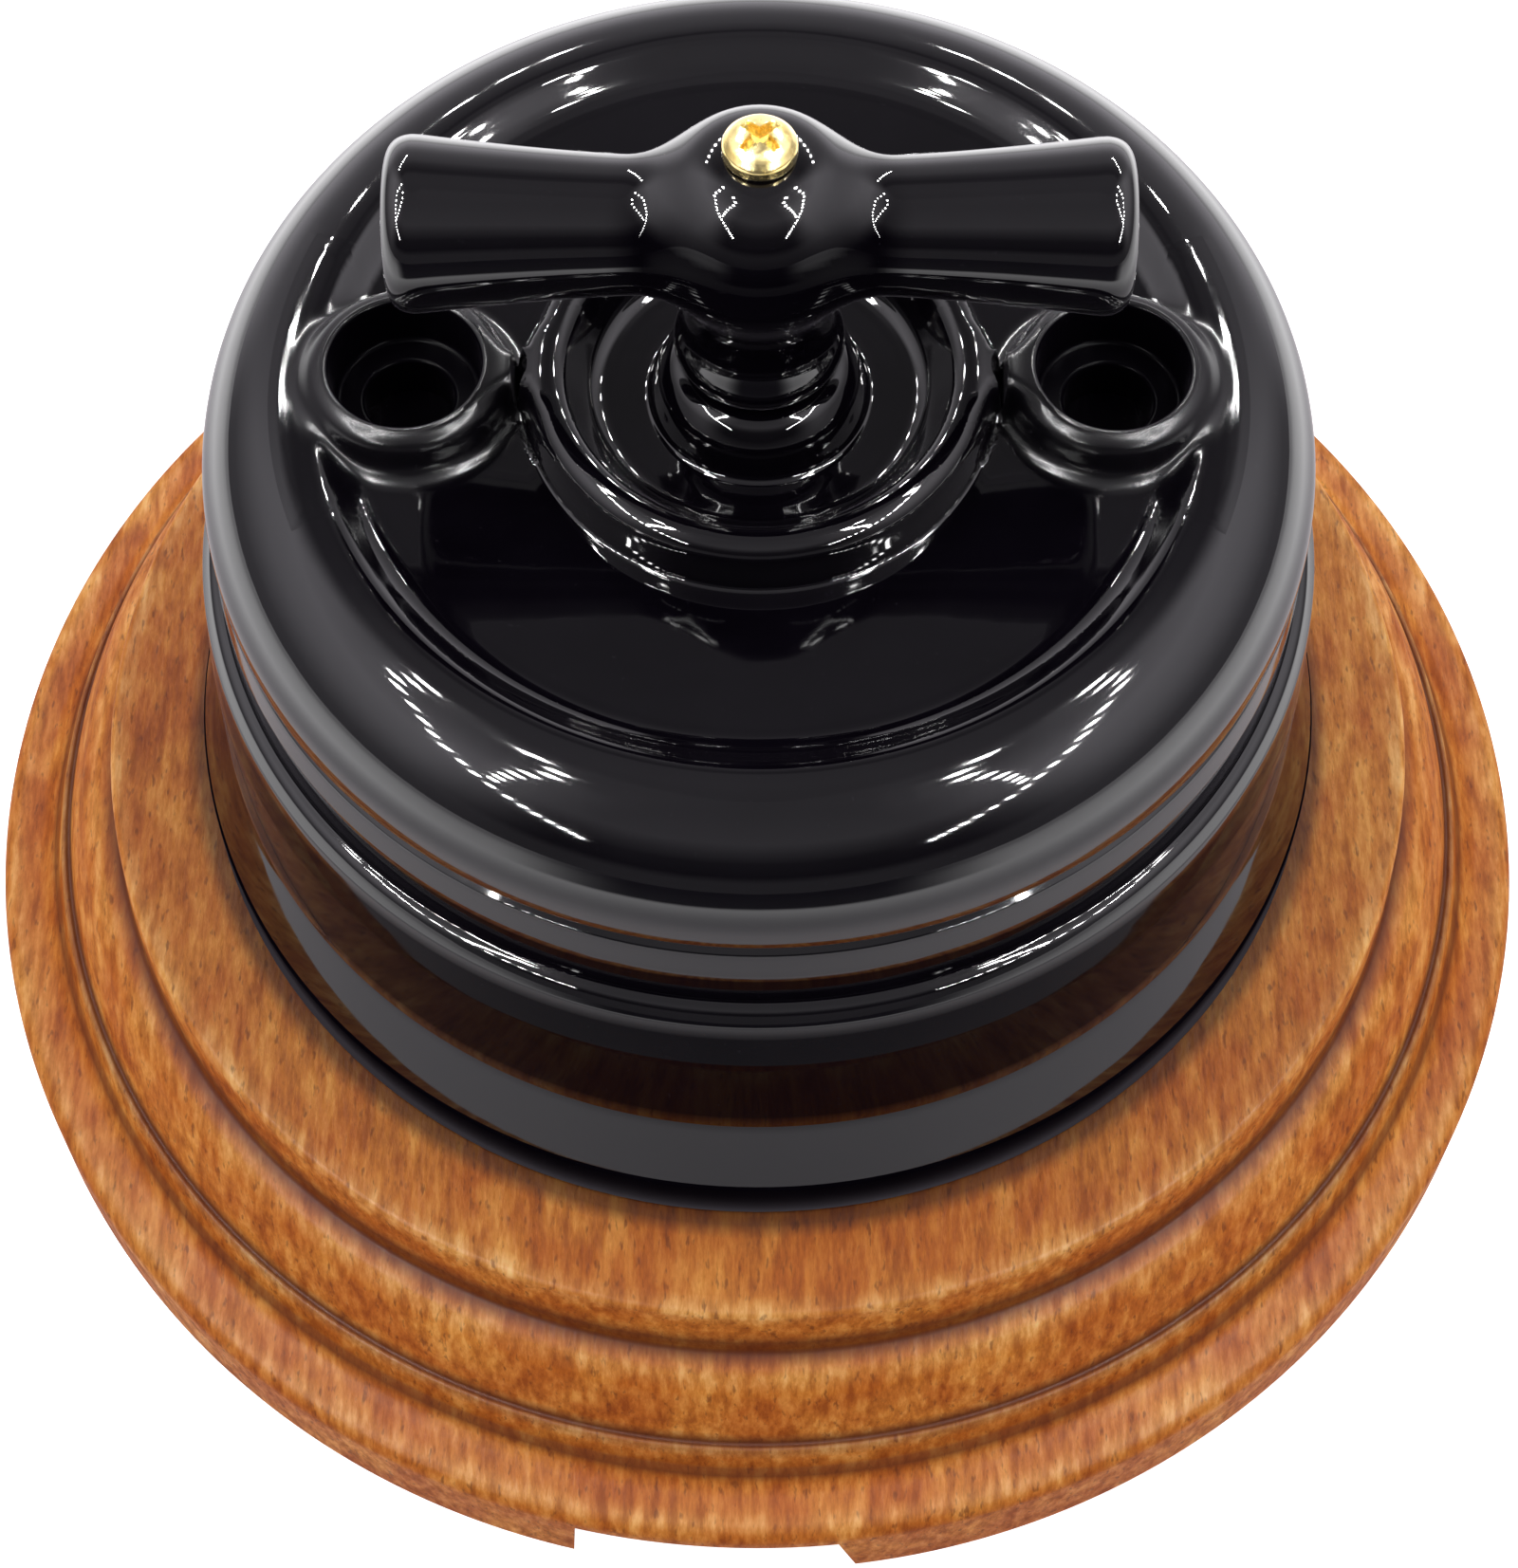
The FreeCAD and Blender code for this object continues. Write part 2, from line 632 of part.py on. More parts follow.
def contact_carrier():
    """Insulating disc and hub that carry the bridging strip round."""
    body = turned([(0, z_carrier), (carrier_r, z_carrier, 0.3), (carrier_r, z_carrier + carrier_disc_h, 0.3),
                   (carrier_hub_r, z_carrier + carrier_disc_h), (carrier_hub_r, z_cam, 0.3), (0, z_cam)])
    body = body.cut(square_hole(z_carrier, z_cam))
    hole = rod(bridge_rivet_shank_r, z_carrier - 1, z_cam + 1, bridge_rivet_r)
    for copy in mirrored(turn(hole, 45)):
        body = body.cut(copy)
    return body


def detent_cam():
    """Square steel cam with rounded corners, four clicks to the turn."""
    cam = prism(rectangle(cam_half, cam_half), z_cam, z_cam + cam_h)
    cam = cam.common(rod(cam_corner_r, z_cam, z_cam + cam_h))
    return cam.cut(square_hole(z_cam, z_cam + cam_h))


def retaining_ring():
    """Spring clip in the shaft's groove below the lower bush."""
    low = z_lower_bush - 0.15 - ring_t
    ring = tube(ring_r, shaft_r - ring_groove + 0.02, low, low + ring_t)
    return ring.cut(Part.makeBox(ring_r + 1, ring_mouth, ring_t + 2, Vector(0, -ring_mouth / 2, low - 1)))


def thrust_washer():
    """Fibre washer between the lower bush and the shaft's collar."""
    low = z_deck + bush_flange_h
    return tube(washer_r, shaft_r + 2 * slide_gap, low, low + washer_t)


def grip_outline():
    """Half-outline of the grips along X: hub bulge, waist and flared end, about the grip's axis."""
    end = handle_half_length
    return [(-end, 0), (-end, grip_end_r - 0.1, grip_end_round),
            (-end + 1.6, grip_end_r, 3.0), (-hub_r - 0.6, grip_root_r, 4.0), (-hub_r + 1.3, grip_root_r + 0.45, 1.6),
            (-hub_r + 2.3, hub_r - 1.4, 2.2), (0, hub_r - 0.2, 6.0),
            (hub_r - 2.3, hub_r - 1.4, 2.2), (hub_r - 1.3, grip_root_r + 0.45, 1.6), (hub_r + 0.6, grip_root_r, 4.0),
            (end - 1.6, grip_end_r, 3.0), (end, grip_end_r - 0.1, grip_end_round), (end, 0)]


def handle():
    """One-piece porcelain dog-bone handle on a waisted neck, bored for the flatted shaft."""
    grips = Part.Face(outline(grip_outline(), flat_xz))
    grips = grips.revolve(Vector(0, 0, 0), Vector(1, 0, 0), 360)
    grips.translate(Vector(0, 0, z_handle + grip_z))
    ball = Part.makeSphere(hub_r, Vector(0, 0, z_handle + hub_z))
    neck = turned([(0, z_handle), (neck_foot_r - 0.2, z_handle, 0.3), (neck_foot_r, z_handle + 1.3, 0.8),
                   (neck_waist_r, z_handle + neck_waist_h, 2.2),
                   (hub_r - 1.2, z_handle + hub_z - neck_flare_drop, 1.5),
                   (hub_r - 1.5, z_handle + hub_z), (0, z_handle + hub_z)])
    body = grips.fuse(ball).fuse(neck)
    lid = Part.makeBox(2 * hub_r, 2 * hub_r, hub_r, Vector(-hub_r, -hub_r, z_hub_top))
    body = body.cut(lid)
    bore = rod(shaft_top_r + slide_gap, z_handle - 1, z_shaft_top + 0.05)
    flats = Part.makeBox(2 * shaft_top_r + 2, shaft_flats + 2 * slide_gap, z_shaft_top - z_handle,
                         Vector(-shaft_top_r - 1, -shaft_flats / 2 - slide_gap, z_handle + 1.3))
    flats = flats.fuse(rod(shaft_top_r + 1, z_handle - 1, z_handle + 1.3))
    body = body.cut(bore.common(flats))
    body = body.cut(rod(screw_r + through_gap, z_shaft_top - 1, z_hub_top + 1))
    body = body.cut(rod(lock_washer_r + slide_gap, z_hub_top - lock_washer_t, z_hub_top + 1))
    return body.removeSplitter()


def handle_screw():
    """Brass pan-head screw with a cross recess, down through the handle into the shaft."""
    head = turned([(0, z_hub_top), (head_r, z_hub_top, 0.1), (head_r, z_hub_top + 0.75, 0.6),
                   (head_r - 0.8, z_hub_top + head_h, 2.5), (0, z_hub_top + head_h)])
    cross = Part.makeBox(2.2, 0.55, 2, Vector(-1.1, -0.275, z_hub_top + head_h - 0.75))
    cross = cross.fuse(turn(cross, 90))
    shank = rod(screw_r, z_hub_top - lock_washer_t - handle_screw_length, z_hub_top + 0.1)
    return head.fuse(shank).cut(turn(cross, 45))


def handle_lock_washer():
    """Thin split washer sunk under the screw's head."""
    low = z_hub_top - lock_washer_t
    ring = tube(lock_washer_r, screw_r + slide_gap, low, z_hub_top)
    return ring.cut(Part.makeBox(lock_washer_r + 1, 0.3, lock_washer_t + 2, Vector(0, -0.15, low - 1)))


save("wooden_frame", wooden_frame())
save("porcelain_base", porcelain_base())
save("porcelain_cover", porcelain_cover())
save("cover_screws", mirrored(slotted_screw(cheese_head_r, cheese_head_h, screw_r, cover_screw_length,
                                            z_post + ledge_thickness, cover_screw_x)))
save("cover_posts", mirrored(cover_post()))
save("post_screws", mirrored(post_screw()))
save("frame_screws", mirrored(wood_screw()))
save("contact_block", contact_block())
save("fixed_contacts", four(fixed_contact()))
save("terminal_blocks", four(terminal_block()))
save("terminal_screws", four(terminal_screw()))
save("mechanism_bolts", mirrored(mechanism_bolt()))
save("bridge_pillars", mirrored(tube(pillar_r, screw_r + through_gap, z_block, z_plate, mech_bolt_x)))
save("bearing_plate", bearing_plate())
nut_low = z_plate + plate_t
save("mechanism_nuts", mirrored(hexagon(nut_flats, nut_low, nut_low + nut_h, mech_bolt_x).cut(
    rod(screw_r + thread_gap, nut_low - 1, nut_low + nut_h + 1, mech_bolt_x))))
pin_low = z_cam + 0.1
save("spring_pins", [rod(spring_pin_r, pin_low, z_plate + plate_t, x, y)
                     for x in (spring_pin_x, -spring_pin_x) for y in (pin_y, -pin_y)])
save("detent_springs", mirrored(detent_spring()))
save("lower_bush", lower_bush())
save("upper_bush", upper_bush())
save("switch_shaft", switch_shaft())
save("retaining_ring", retaining_ring())
save("thrust_washer", thrust_washer())
save("contact_bridge", contact_bridge())
save("bridge_rivets", mirrored(turn(bridge_rivet(), 45)))
save("contact_carrier", contact_carrier())
save("detent_cam", detent_cam())
save("handle", handle())
save("handle_lock_washer", handle_lock_washer())
save("handle_screw", handle_screw())
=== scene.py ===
import math

import bmesh
import bpy
import numpy as np
from mathutils import Matrix, Vector


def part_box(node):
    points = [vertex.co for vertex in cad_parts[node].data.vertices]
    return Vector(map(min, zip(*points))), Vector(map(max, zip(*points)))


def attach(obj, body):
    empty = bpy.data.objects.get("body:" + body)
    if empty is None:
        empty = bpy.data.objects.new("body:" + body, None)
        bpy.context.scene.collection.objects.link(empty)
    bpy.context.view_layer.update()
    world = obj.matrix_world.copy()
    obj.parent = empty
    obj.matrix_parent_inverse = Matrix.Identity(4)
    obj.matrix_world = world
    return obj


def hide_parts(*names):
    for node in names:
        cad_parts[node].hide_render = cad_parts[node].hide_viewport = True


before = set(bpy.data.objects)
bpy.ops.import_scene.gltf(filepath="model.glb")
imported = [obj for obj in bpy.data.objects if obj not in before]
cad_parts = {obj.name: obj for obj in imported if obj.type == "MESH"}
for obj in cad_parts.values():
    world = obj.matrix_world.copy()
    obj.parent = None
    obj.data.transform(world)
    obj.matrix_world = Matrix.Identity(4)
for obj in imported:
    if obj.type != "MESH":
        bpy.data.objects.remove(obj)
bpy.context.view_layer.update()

# Wooden frame
# A ring turned from one board of a close-grained hardwood, its grain running across the switch from
# front to back, stained orange-brown and given a satin varnish. It stands on the wall, hollow behind,
# and its rim is notched at the front for a surface cable.
MM = 0.001
wood_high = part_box("wooden_frame")[1]
wood_r = wood_high.x / MM
wood_h = wood_high.z / MM
rim_h = 6.3
hollow_r = 38.0
hollow_depth = 9.0
opening_r = 20.0
notch_left, notch_left_lean = -10.8, 0.3
notch_right, notch_right_lean = 5.0, 1.45
notch_h = 4.8
wall_hole_y, wall_hole_r = 25.0, 2.25
pilot_x, pilot_r, pilot_low = 25.5, 1.45, 11.7
cut_past = 1
seat_r = 34.5


def rounded_line(corners, closed=True, longest=0.8, turn=8.0):
    """Points along a flat outline in millimetres. Each corner's third value is the radius of the arc
    that rounds it: the arc touches both sides at radius / tan(half the corner's angle), shortened
    where two arcs share a side. Sides are divided so that no step is over the longest."""
    spots = np.array([c[:2] for c in corners], float)
    radii = np.array([c[2] if len(c) > 2 else 0.0 for c in corners])
    if not closed:
        radii[[0, -1]] = 0.0
    before = np.roll(spots, 1, axis=0) - spots
    after = np.roll(spots, -1, axis=0) - spots
    side = np.linalg.norm(after, axis=1)
    before /= np.linalg.norm(before, axis=1)[:, None]
    after /= side[:, None]
    half = np.arccos(np.clip((before * after).sum(1), -1, 1)) / 2
    reach = np.where(radii > 0, radii / np.tan(half), 0.0)
    fits = np.minimum(1.0, 0.98 * side / np.maximum(reach + np.roll(reach, -1), 1e-9))
    reach = reach * np.minimum(fits, np.roll(fits, 1))
    runs = []
    for i, spot in enumerate(spots):
        sweep = math.pi - 2 * half[i]
        if reach[i] < 1e-6 or sweep < 1e-3:
            runs.append(spot[None])
            continue
        radius = reach[i] * math.tan(half[i])
        middle = before[i] + after[i]
        centre = spot + middle / np.linalg.norm(middle) * radius / math.sin(half[i])
        steps = max(2, math.ceil(math.degrees(sweep) / turn), math.ceil(sweep * radius / longest))
        share = np.linspace(0, 1, steps + 1)[:, None]
        start = spot + before[i] * reach[i] - centre
        end = spot + after[i] * reach[i] - centre
        arc = start * np.sin((1 - share) * sweep) + end * np.sin(share * sweep)
        runs.append(centre + arc / math.sin(sweep))
    line = np.concatenate(runs)
    ahead = np.roll(line, -1, axis=0) if closed else line[1:]
    here = line if closed else line[:-1]
    cuts = np.maximum(1, np.ceil(np.linalg.norm(ahead - here, axis=1) / longest - 1e-6)).astype(int)
    pieces = [a + (b - a) * (np.arange(n) / n)[:, None] for a, b, n in zip(here, ahead, cuts)]
    return np.concatenate(pieces if closed else pieces + [line[-1:]])


def turned(line, angles, centre=(0.0, 0.0)):
    """Grid of points of a profile (radius, height) carried round an upright axis: the radius times
    the cosine and sine of each angle, and the height."""
    radius, height = line[:, 0, None], line[:, 1, None]
    x = centre[0] + radius * np.cos(angles)
    y = centre[1] + radius * np.sin(angles)
    return np.stack([x, y, height + 0 * angles], axis=-1)


def grid_faces(rows, columns, wrap_rows=False, wrap_columns=True, first=0):
    """Four-cornered faces of a grid of points numbered row by row, joined to itself where it wraps."""
    i = np.arange(rows if wrap_rows else rows - 1)[:, None]
    j = np.arange(columns if wrap_columns else columns - 1)[None]
    i2, j2 = (i + 1) % rows, (j + 1) % columns
    corners = [i * columns + j, i * columns + j2, i2 * columns + j2, i2 * columns + j]
    return first + np.stack(np.broadcast_arrays(*corners), axis=-1).reshape(-1, 4)


def mesh_piece(name, points, faces, sharp=38.0, merge=2e-4):
    """Object at the origin from points in millimetres and faces. Doubled points are merged, the
    faces turned outward by the sign of the volume they close, and edges over an angle kept sharp."""
    mesh = bpy.data.meshes.new(name)
    mesh.from_pydata((np.asarray(points).reshape(-1, 3) * MM).tolist(), [], np.asarray(faces).tolist())
    bm = bmesh.new()
    bm.from_mesh(mesh)
    bmesh.ops.remove_doubles(bm, verts=bm.verts, dist=merge * MM)
    bmesh.ops.dissolve_degenerate(bm, edges=bm.edges, dist=merge * MM)
    if bm.calc_volume(signed=True) < 0:
        bmesh.ops.reverse_faces(bm, faces=bm.faces)
    bm.to_mesh(mesh)
    bm.free()
    mesh.shade_smooth()
    mesh.set_sharp_from_angle(angle=math.radians(sharp))
    piece = bpy.data.objects.new(name, mesh)
    bpy.context.scene.collection.objects.link(piece)
    return piece


def around(columns):
    """Even angles round a full turn."""
    return np.arange(columns) * 2 * math.pi / columns


def mesh_points(name, points, faces):
    """Cutter from points in millimetres, its faces turned outward."""
    mesh = bpy.data.meshes.new(name)
    mesh.from_pydata((points * MM).tolist(), [], faces)
    bm = bmesh.new()
    bm.from_mesh(mesh)
    bmesh.ops.recalc_face_normals(bm, faces=bm.faces)
    bm.to_mesh(mesh)
    bm.free()
    piece = bpy.data.objects.new(name, mesh)
    bpy.context.scene.collection.objects.link(piece)
    return piece


def round_plug(name, x, y, radius, low, high, columns=48):
    """Closed upright cylinder, as a cutter."""
    line = np.array([(0, low), (radius, low), (radius, high), (0, high)], float)
    return mesh_piece(name, turned(line, around(columns), (x, y)), grid_faces(4, columns))


def cut_away(piece, cutters, sharp=38.0):
    """Takes the cutters out of a piece for good, and removes them."""
    for cutter in cutters:
        tool = piece.modifiers.new("cut", "BOOLEAN")
        tool.operation = "DIFFERENCE"
        tool.solver = "EXACT"
        tool.object = cutter
    bpy.context.view_layer.update()
    solid = bpy.data.meshes.new_from_object(piece.evaluated_get(bpy.context.evaluated_depsgraph_get()))
    piece.modifiers.clear()
    piece.data = solid
    for cutter in cutters:
        bpy.data.objects.remove(cutter)
    solid.shade_smooth()
    solid.set_sharp_from_angle(angle=math.radians(sharp))


frame_outline = [
    (hollow_r, 0, 0.4), (wood_r, 0, 0.35), (wood_r, rim_h, 1.1), (wood_r - 3.2, rim_h + 0.2, 1.6),
    (wood_r - 4.0, rim_h + 1.5, 1.0), (wood_r - 4.5, rim_h + 3.3, 0.35),
    (wood_r - 4.95, rim_h + 2.9, 0.3), (wood_r - 5.5, rim_h + 4.9, 1.2),
    (wood_r - 6.5, rim_h + 6.9, 1.6), (wood_r - 7.6, rim_h + 7.9, 1.0),
    (wood_r - 8.9, rim_h + 8.1, 0.35), (wood_r - 9.2, wood_h, 0.45), (opening_r, wood_h, 0.3),
    (opening_r, hollow_depth, 0.3), (hollow_r, hollow_depth, 1.5)]
frame_line = rounded_line(frame_outline, longest=0.9)
wood_columns = 288
wood = mesh_piece("turned_frame", turned(frame_line, around(wood_columns)),
                  grid_faces(len(frame_line), wood_columns, wrap_rows=True))
notch = np.array([(notch_left - notch_left_lean, -cut_past),
                  (notch_right + notch_right_lean, -cut_past),
                  (notch_right, notch_h), (notch_left, notch_h)])
notch_ends = [np.c_[notch[:, 0], np.full(4, y), notch[:, 1]] for y in (-wood_r - 2, -hollow_r + 9)]
cutters = [mesh_points("notch_cut", np.concatenate(notch_ends),
                       grid_faces(2, 4).tolist() + [[0, 1, 2, 3], [4, 5, 6, 7]])]
for side in (1, -1):
    cutters.append(round_plug("wall_hole_cut", 0, side * wall_hole_y, wall_hole_r,
                              hollow_depth - 4, wood_h + cut_past))
for side in (1, -1):
    cutters.append(round_plug("pilot_cut", side * pilot_x, 0, pilot_r, pilot_low, wood_h + cut_past))
cut_away(wood, cutters)


def points_of(piece):
    """A piece's points in millimetres, as columns x, y and z."""
    spots = np.empty(len(piece.data.vertices) * 3)
    piece.data.vertices.foreach_get("co", spots)
    return spots.reshape(-1, 3).T / MM


def near_rings(piece, rings, spread):
    """How near each point of a piece lies to any of the given rings (radius, height): one on the
    ring, falling off as a bell curve with the spread, all in millimetres."""
    x, y, z = points_of(piece)
    flat = np.stack([np.hypot(x, y), z], axis=1)
    rings = np.array(rings)
    away = np.linalg.norm(flat[:, None] - rings[None], axis=2).min(1)
    return np.exp(-(away / spread) ** 2)


def store(piece, name, values):
    """Keeps one value a point as an attribute that the piece's material reads."""
    layer = piece.data.attributes.new(name, "FLOAT", "POINT")
    layer.data.foreach_set("value", np.asarray(values, dtype=np.float32))


# Darker rings: partly stain pooled in the grooves, partly painted shade, on the step wall under the top
# and in the grooves below.
stain_and_shade_rings = [(wood_r - 8.9, rim_h + 8.0), (wood_r - 9.0, rim_h + 8.7), (wood_r - 9.1, rim_h + 9.4),
                 (wood_r - 4.95, rim_h + 2.9), (wood_r - 3.9, rim_h + 1.0)]
# Painted highlights: rings of paler colour along the convex edges of the top, the bead, the upper
# moulding and the rim.
painted_highlight_rings = [(wood_r - 9.4, wood_h), (wood_r - 4.5, rim_h + 3.1), (wood_r - 7.3, rim_h + 7.8),
                (wood_r - 0.9, rim_h)]
store(wood, "stain_and_painted_shade", near_rings(wood, stain_and_shade_rings, 0.55))
store(wood, "painted_highlight", near_rings(wood, painted_highlight_rings, 0.6))
store(wood, "seat_shadow", near_rings(wood, [(seat_r, wood_h), (seat_r + 0.4, wood_h)], 0.35))


def new_finish(name, colour, roughness, metallic=0.0, coat=0.0, coat_roughness=0.03):
    """Material with one principled shader, its even values set on the shader's own sockets."""
    finish = bpy.data.materials.new(name)
    finish.use_nodes = True
    shader = finish.node_tree.nodes["Principled BSDF"]
    shader.inputs["Base Color"].default_value = (*colour, 1)
    shader.inputs["Roughness"].default_value = roughness
    shader.inputs["Metallic"].default_value = metallic
    shader.inputs["Coat Weight"].default_value = coat
    shader.inputs["Coat Roughness"].default_value = coat_roughness
    return finish, finish.node_tree, shader


def grain(tree, scale, stretch=(1, 1, 1), detail=4.0, rough=0.55):
    """Noise over the piece's own coordinates in metres, finer along the axes that are stretched less."""
    coords = tree.nodes.new("ShaderNodeTexCoord")
    place = tree.nodes.new("ShaderNodeMapping")
    place.inputs["Scale"].default_value = stretch
    noise = tree.nodes.new("ShaderNodeTexNoise")
    noise.inputs["Scale"].default_value = scale
    noise.inputs["Detail"].default_value = detail
    noise.inputs["Roughness"].default_value = rough
    tree.links.new(coords.outputs["Object"], place.inputs["Vector"])
    tree.links.new(place.outputs["Vector"], noise.inputs["Vector"])
    return noise.outputs["Fac"]


def ramp(tree, factor, stops):
    """Colours or greys along a factor, given as (place, colour) stops."""
    band = tree.nodes.new("ShaderNodeValToRGB")
    band.color_ramp.elements[0].position, band.color_ramp.elements[1].position = stops[0][0], stops[-1][0]
    for place, _ in stops[1:-1]:
        band.color_ramp.elements.new(place)
    for element, (_, colour) in zip(band.color_ramp.elements, stops):
        element.color = (*colour, 1) if len(np.shape(colour)) else (colour, colour, colour, 1)
    tree.links.new(factor, band.inputs["Fac"])
    return band.outputs["Color"]


def blended(tree, factor, first, second, mode="MIX"):
    """Mix of two colours by a factor; either colour or the factor may be a plain value."""
    mixer = tree.nodes.new("ShaderNodeMix")
    mixer.data_type = "RGBA"
    mixer.blend_type = mode
    for socket, value in ((mixer.inputs[0], factor), (mixer.inputs[6], first), (mixer.inputs[7], second)):
        if isinstance(value, bpy.types.NodeSocket):
            tree.links.new(value, socket)
        else:
            socket.default_value = (*value, 1) if len(np.shape(value)) else value
    return mixer.outputs[2]


def vary(tree, shader, socket, factor, stops):
    """Drives one of the shader's values by a ramp along a factor."""
    tree.links.new(ramp(tree, factor, stops), shader.inputs[socket])


def attribute(tree, name):
    """The piece's own stored value."""
    reader = tree.nodes.new("ShaderNodeAttribute")
    reader.attribute_name = name
    return reader.outputs["Fac"]


def add_bump(tree, shader, height, distance, strength=1.0, coat=True):
    """Small relief from a height factor, in metres, on the surface and its coat."""
    bump = tree.nodes.new("ShaderNodeBump")
    bump.inputs["Strength"].default_value = strength
    bump.inputs["Distance"].default_value = distance
    tree.links.new(height, bump.inputs["Height"])
    tree.links.new(bump.outputs["Normal"], shader.inputs["Normal"])
    if coat:
        tree.links.new(bump.outputs["Normal"], shader.inputs["Coat Normal"])


def dress(piece, finish, body=None, nodes=()):
    """Gives a piece its finish, and makes a new piece ride on its body in place of its solids."""
    piece.data.materials.clear()
    piece.data.materials.append(finish)
    if body:
        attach(piece, body)
        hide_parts(*nodes)


stained, tree, shader = new_finish("stained_wood", (0.45, 0.11, 0.014), 0.42, coat=0.03,
                                   coat_roughness=0.25)
shader.inputs["Specular IOR Level"].default_value = 0.08
streaks = grain(tree, 1300, (1.0, 0.20, 0.5), detail=5, rough=0.65)
colour = ramp(tree, streaks, [(0.34, (0.37, 0.076, 0.005)), (0.5, (0.58, 0.150, 0.014)),
                              (0.66, (0.76, 0.260, 0.040))])
patches = ramp(tree, grain(tree, 230, (1.0, 0.7, 1.0), detail=4), [(0.44, 0.0), (0.64, 1.0)])
golden = blended(tree, 1.0, colour, (1.25, 1.65, 2.2), "MULTIPLY")
colour = blended(tree, patches, colour, golden)
flecks = ramp(tree, grain(tree, 2800, (1.0, 0.30, 0.5), detail=2), [(0.60, 0.0), (0.72, 0.6)])
colour = blended(tree, flecks, colour, (0.15, 0.030, 0.006))
# Darker stain pooled in the grooves, together with painted shade on the step wall and in the grooves.
colour = blended(tree, attribute(tree, "stain_and_painted_shade"), colour, (0.13, 0.030, 0.010))
# Painted highlight: the wood's colour made paler along the convex edges.
painted_highlight_colour = blended(tree, 1.0, colour, (1.2, 1.6, 2.8), "MULTIPLY")
colour = blended(tree, attribute(tree, "painted_highlight"), colour, painted_highlight_colour)
colour = blended(tree, attribute(tree, "seat_shadow"), colour, (0.012, 0.006, 0.004))
tree.links.new(colour, shader.inputs["Base Color"])
vary(tree, shader, "Roughness", streaks, [(0.35, 0.52), (0.7, 0.34)])
add_bump(tree, shader, grain(tree, 2400, (1.0, 0.3, 0.6), detail=3), 0.00004)
dress(wood, stained, "body", ["wooden_frame"])

# Porcelain cover
# A cast porcelain cup under a black mirror glaze: flared foot, drafted wall, lip and crease, a domed
# shoulder round a shallow dish, and in the dish a crater-like ring, the shaft's collar and two screw
# bosses tied to the ring by waisted webs. Two long screws hold it, deep in sleeves under the bosses.
foot_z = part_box("porcelain_cover")[0].z / MM
floor_z = foot_z + 29.9
dome_z = foot_z + 31.1
boss_x = 19.1
boss_r = 5.35
boss_lean = 0.15
boss_z = floor_z + 2.4
rim_inner_r = 4.45
boss_round = 1.2
web_x, web_half, web_z = 13.5, 1.9, floor_z + 2.3
web_waist, web_flare, web_reach = 1.1, 1.2, 1.6
cover_outline = [
    (34.3, foot_z, 0.3), (32.65, foot_z + 4.8, 0.4), (32.42, foot_z + 12.6, 1.4),
    (32.10, foot_z + 16.6, 0.6), (31.55, foot_z + 17.45, 0.8), (30.95, foot_z + 17.6, 0.25),
    (30.95, foot_z + 20.5, 0.5), (30.72, foot_z + 22.5, 0.2), (30.1, foot_z + 22.9, 0.12),
    (30.85, foot_z + 23.7, 0.3), (30.85, dome_z, 6.7), (24.2, dome_z, 1.6), (22.5, floor_z, 2.4),
    (12.75, floor_z - 0.3, 0.3), (12.3, floor_z + 2.65, 1.3), (10.7, floor_z + 2.7, 1.1),
    (9.0, floor_z - 0.2, 1.4), (5.9, floor_z - 0.2, 0.5), (5.45, floor_z + 1.9, 1.2),
    (4.5, floor_z + 3.2, 1.3), (3.0, floor_z + 3.2, 0.2), (3.0, floor_z - 3.5)]
inside_outline = [
    (3.0, floor_z - 3.5), (26.16, floor_z - 3.5, 3.2), (27.6, foot_z + 20.5, 4.0),
    (28.58, foot_z + 13.9, 4.0), (29.6, foot_z + 4.0, 1.0), (29.6, foot_z, 0.2), (34.3, foot_z, 0.3)]
patch_half = math.radians(22)
patch_columns = 60
side_columns = 76
slope_rows = 18
sleeve_r, sleeve_low = 2.45, foot_z + 17.6


def cover_angles():
    """Angles round the cover, closer together across the two bosses than beside them."""
    near = np.linspace(-patch_half, patch_half, patch_columns + 1)[:-1]
    side = np.linspace(patch_half, math.pi - patch_half, side_columns + 1)[:-1]
    return np.concatenate([near, side, near + math.pi, side + math.pi])


def smooth_min(a, b, k):
    """The smaller of two distances, blended over k: the mix of both by h, less k h (1 - h)."""
    h = np.clip(0.5 + 0.5 * (b - a) / k, 0, 1)
    return b + (a - b) * h - k * h * (1 - h)


def smooth_max(a, b, k):
    """The larger of two distances, blended over k."""
    return -smooth_min(-a, -b, k)


def line_distance(flat, line):
    """Signed distance of points (radius, height) from a profile: the least distance from any of its
    segments, positive above it."""
    start, step = line[:-1], np.diff(line, axis=0)
    share = ((flat[:, None] - start) * step).sum(2) / np.maximum((step ** 2).sum(1), 1e-12)
    near = start + np.clip(share, 0, 1)[..., None] * step
    away = np.linalg.norm(flat[:, None] - near, axis=2).min(1)
    order = np.argsort(line[:, 0])
    level = np.interp(flat[:, 0], line[order, 0], line[order, 1])
    return np.where(flat[:, 1] > level, away, -away)


def settle(points, field, rounds=6, reach=0.6):
    """Moves points onto a field's zero surface: each round takes the field over its squared slope,
    times the slope by central differences, with no step longer than the reach."""
    step = 1e-3
    for _ in range(rounds):
        value = field(points)
        slope = np.stack([(field(points + d) - field(points - d)) / (2 * step)
                          for d in np.eye(3) * step], axis=1)
        move = -slope * (value / np.maximum((slope ** 2).sum(1), 1e-6))[:, None]
        length = np.linalg.norm(move, axis=1)[:, None]
        points = points + move * np.minimum(1, reach / np.maximum(length, 1e-9))
    return points


def outer_loop(rows, columns, count):
    """Point numbers round a rectangle of grid cells, for a grid with the given count of columns."""
    top, bottom = rows
    left, right = columns
    across = np.arange(left, right)
    down = np.arange(top, bottom)
    loop = [top * count + across, down * count + right, bottom * count + across[::-1] + 1,
            (down[::-1] + 1) * count + left]
    return np.concatenate(loop)


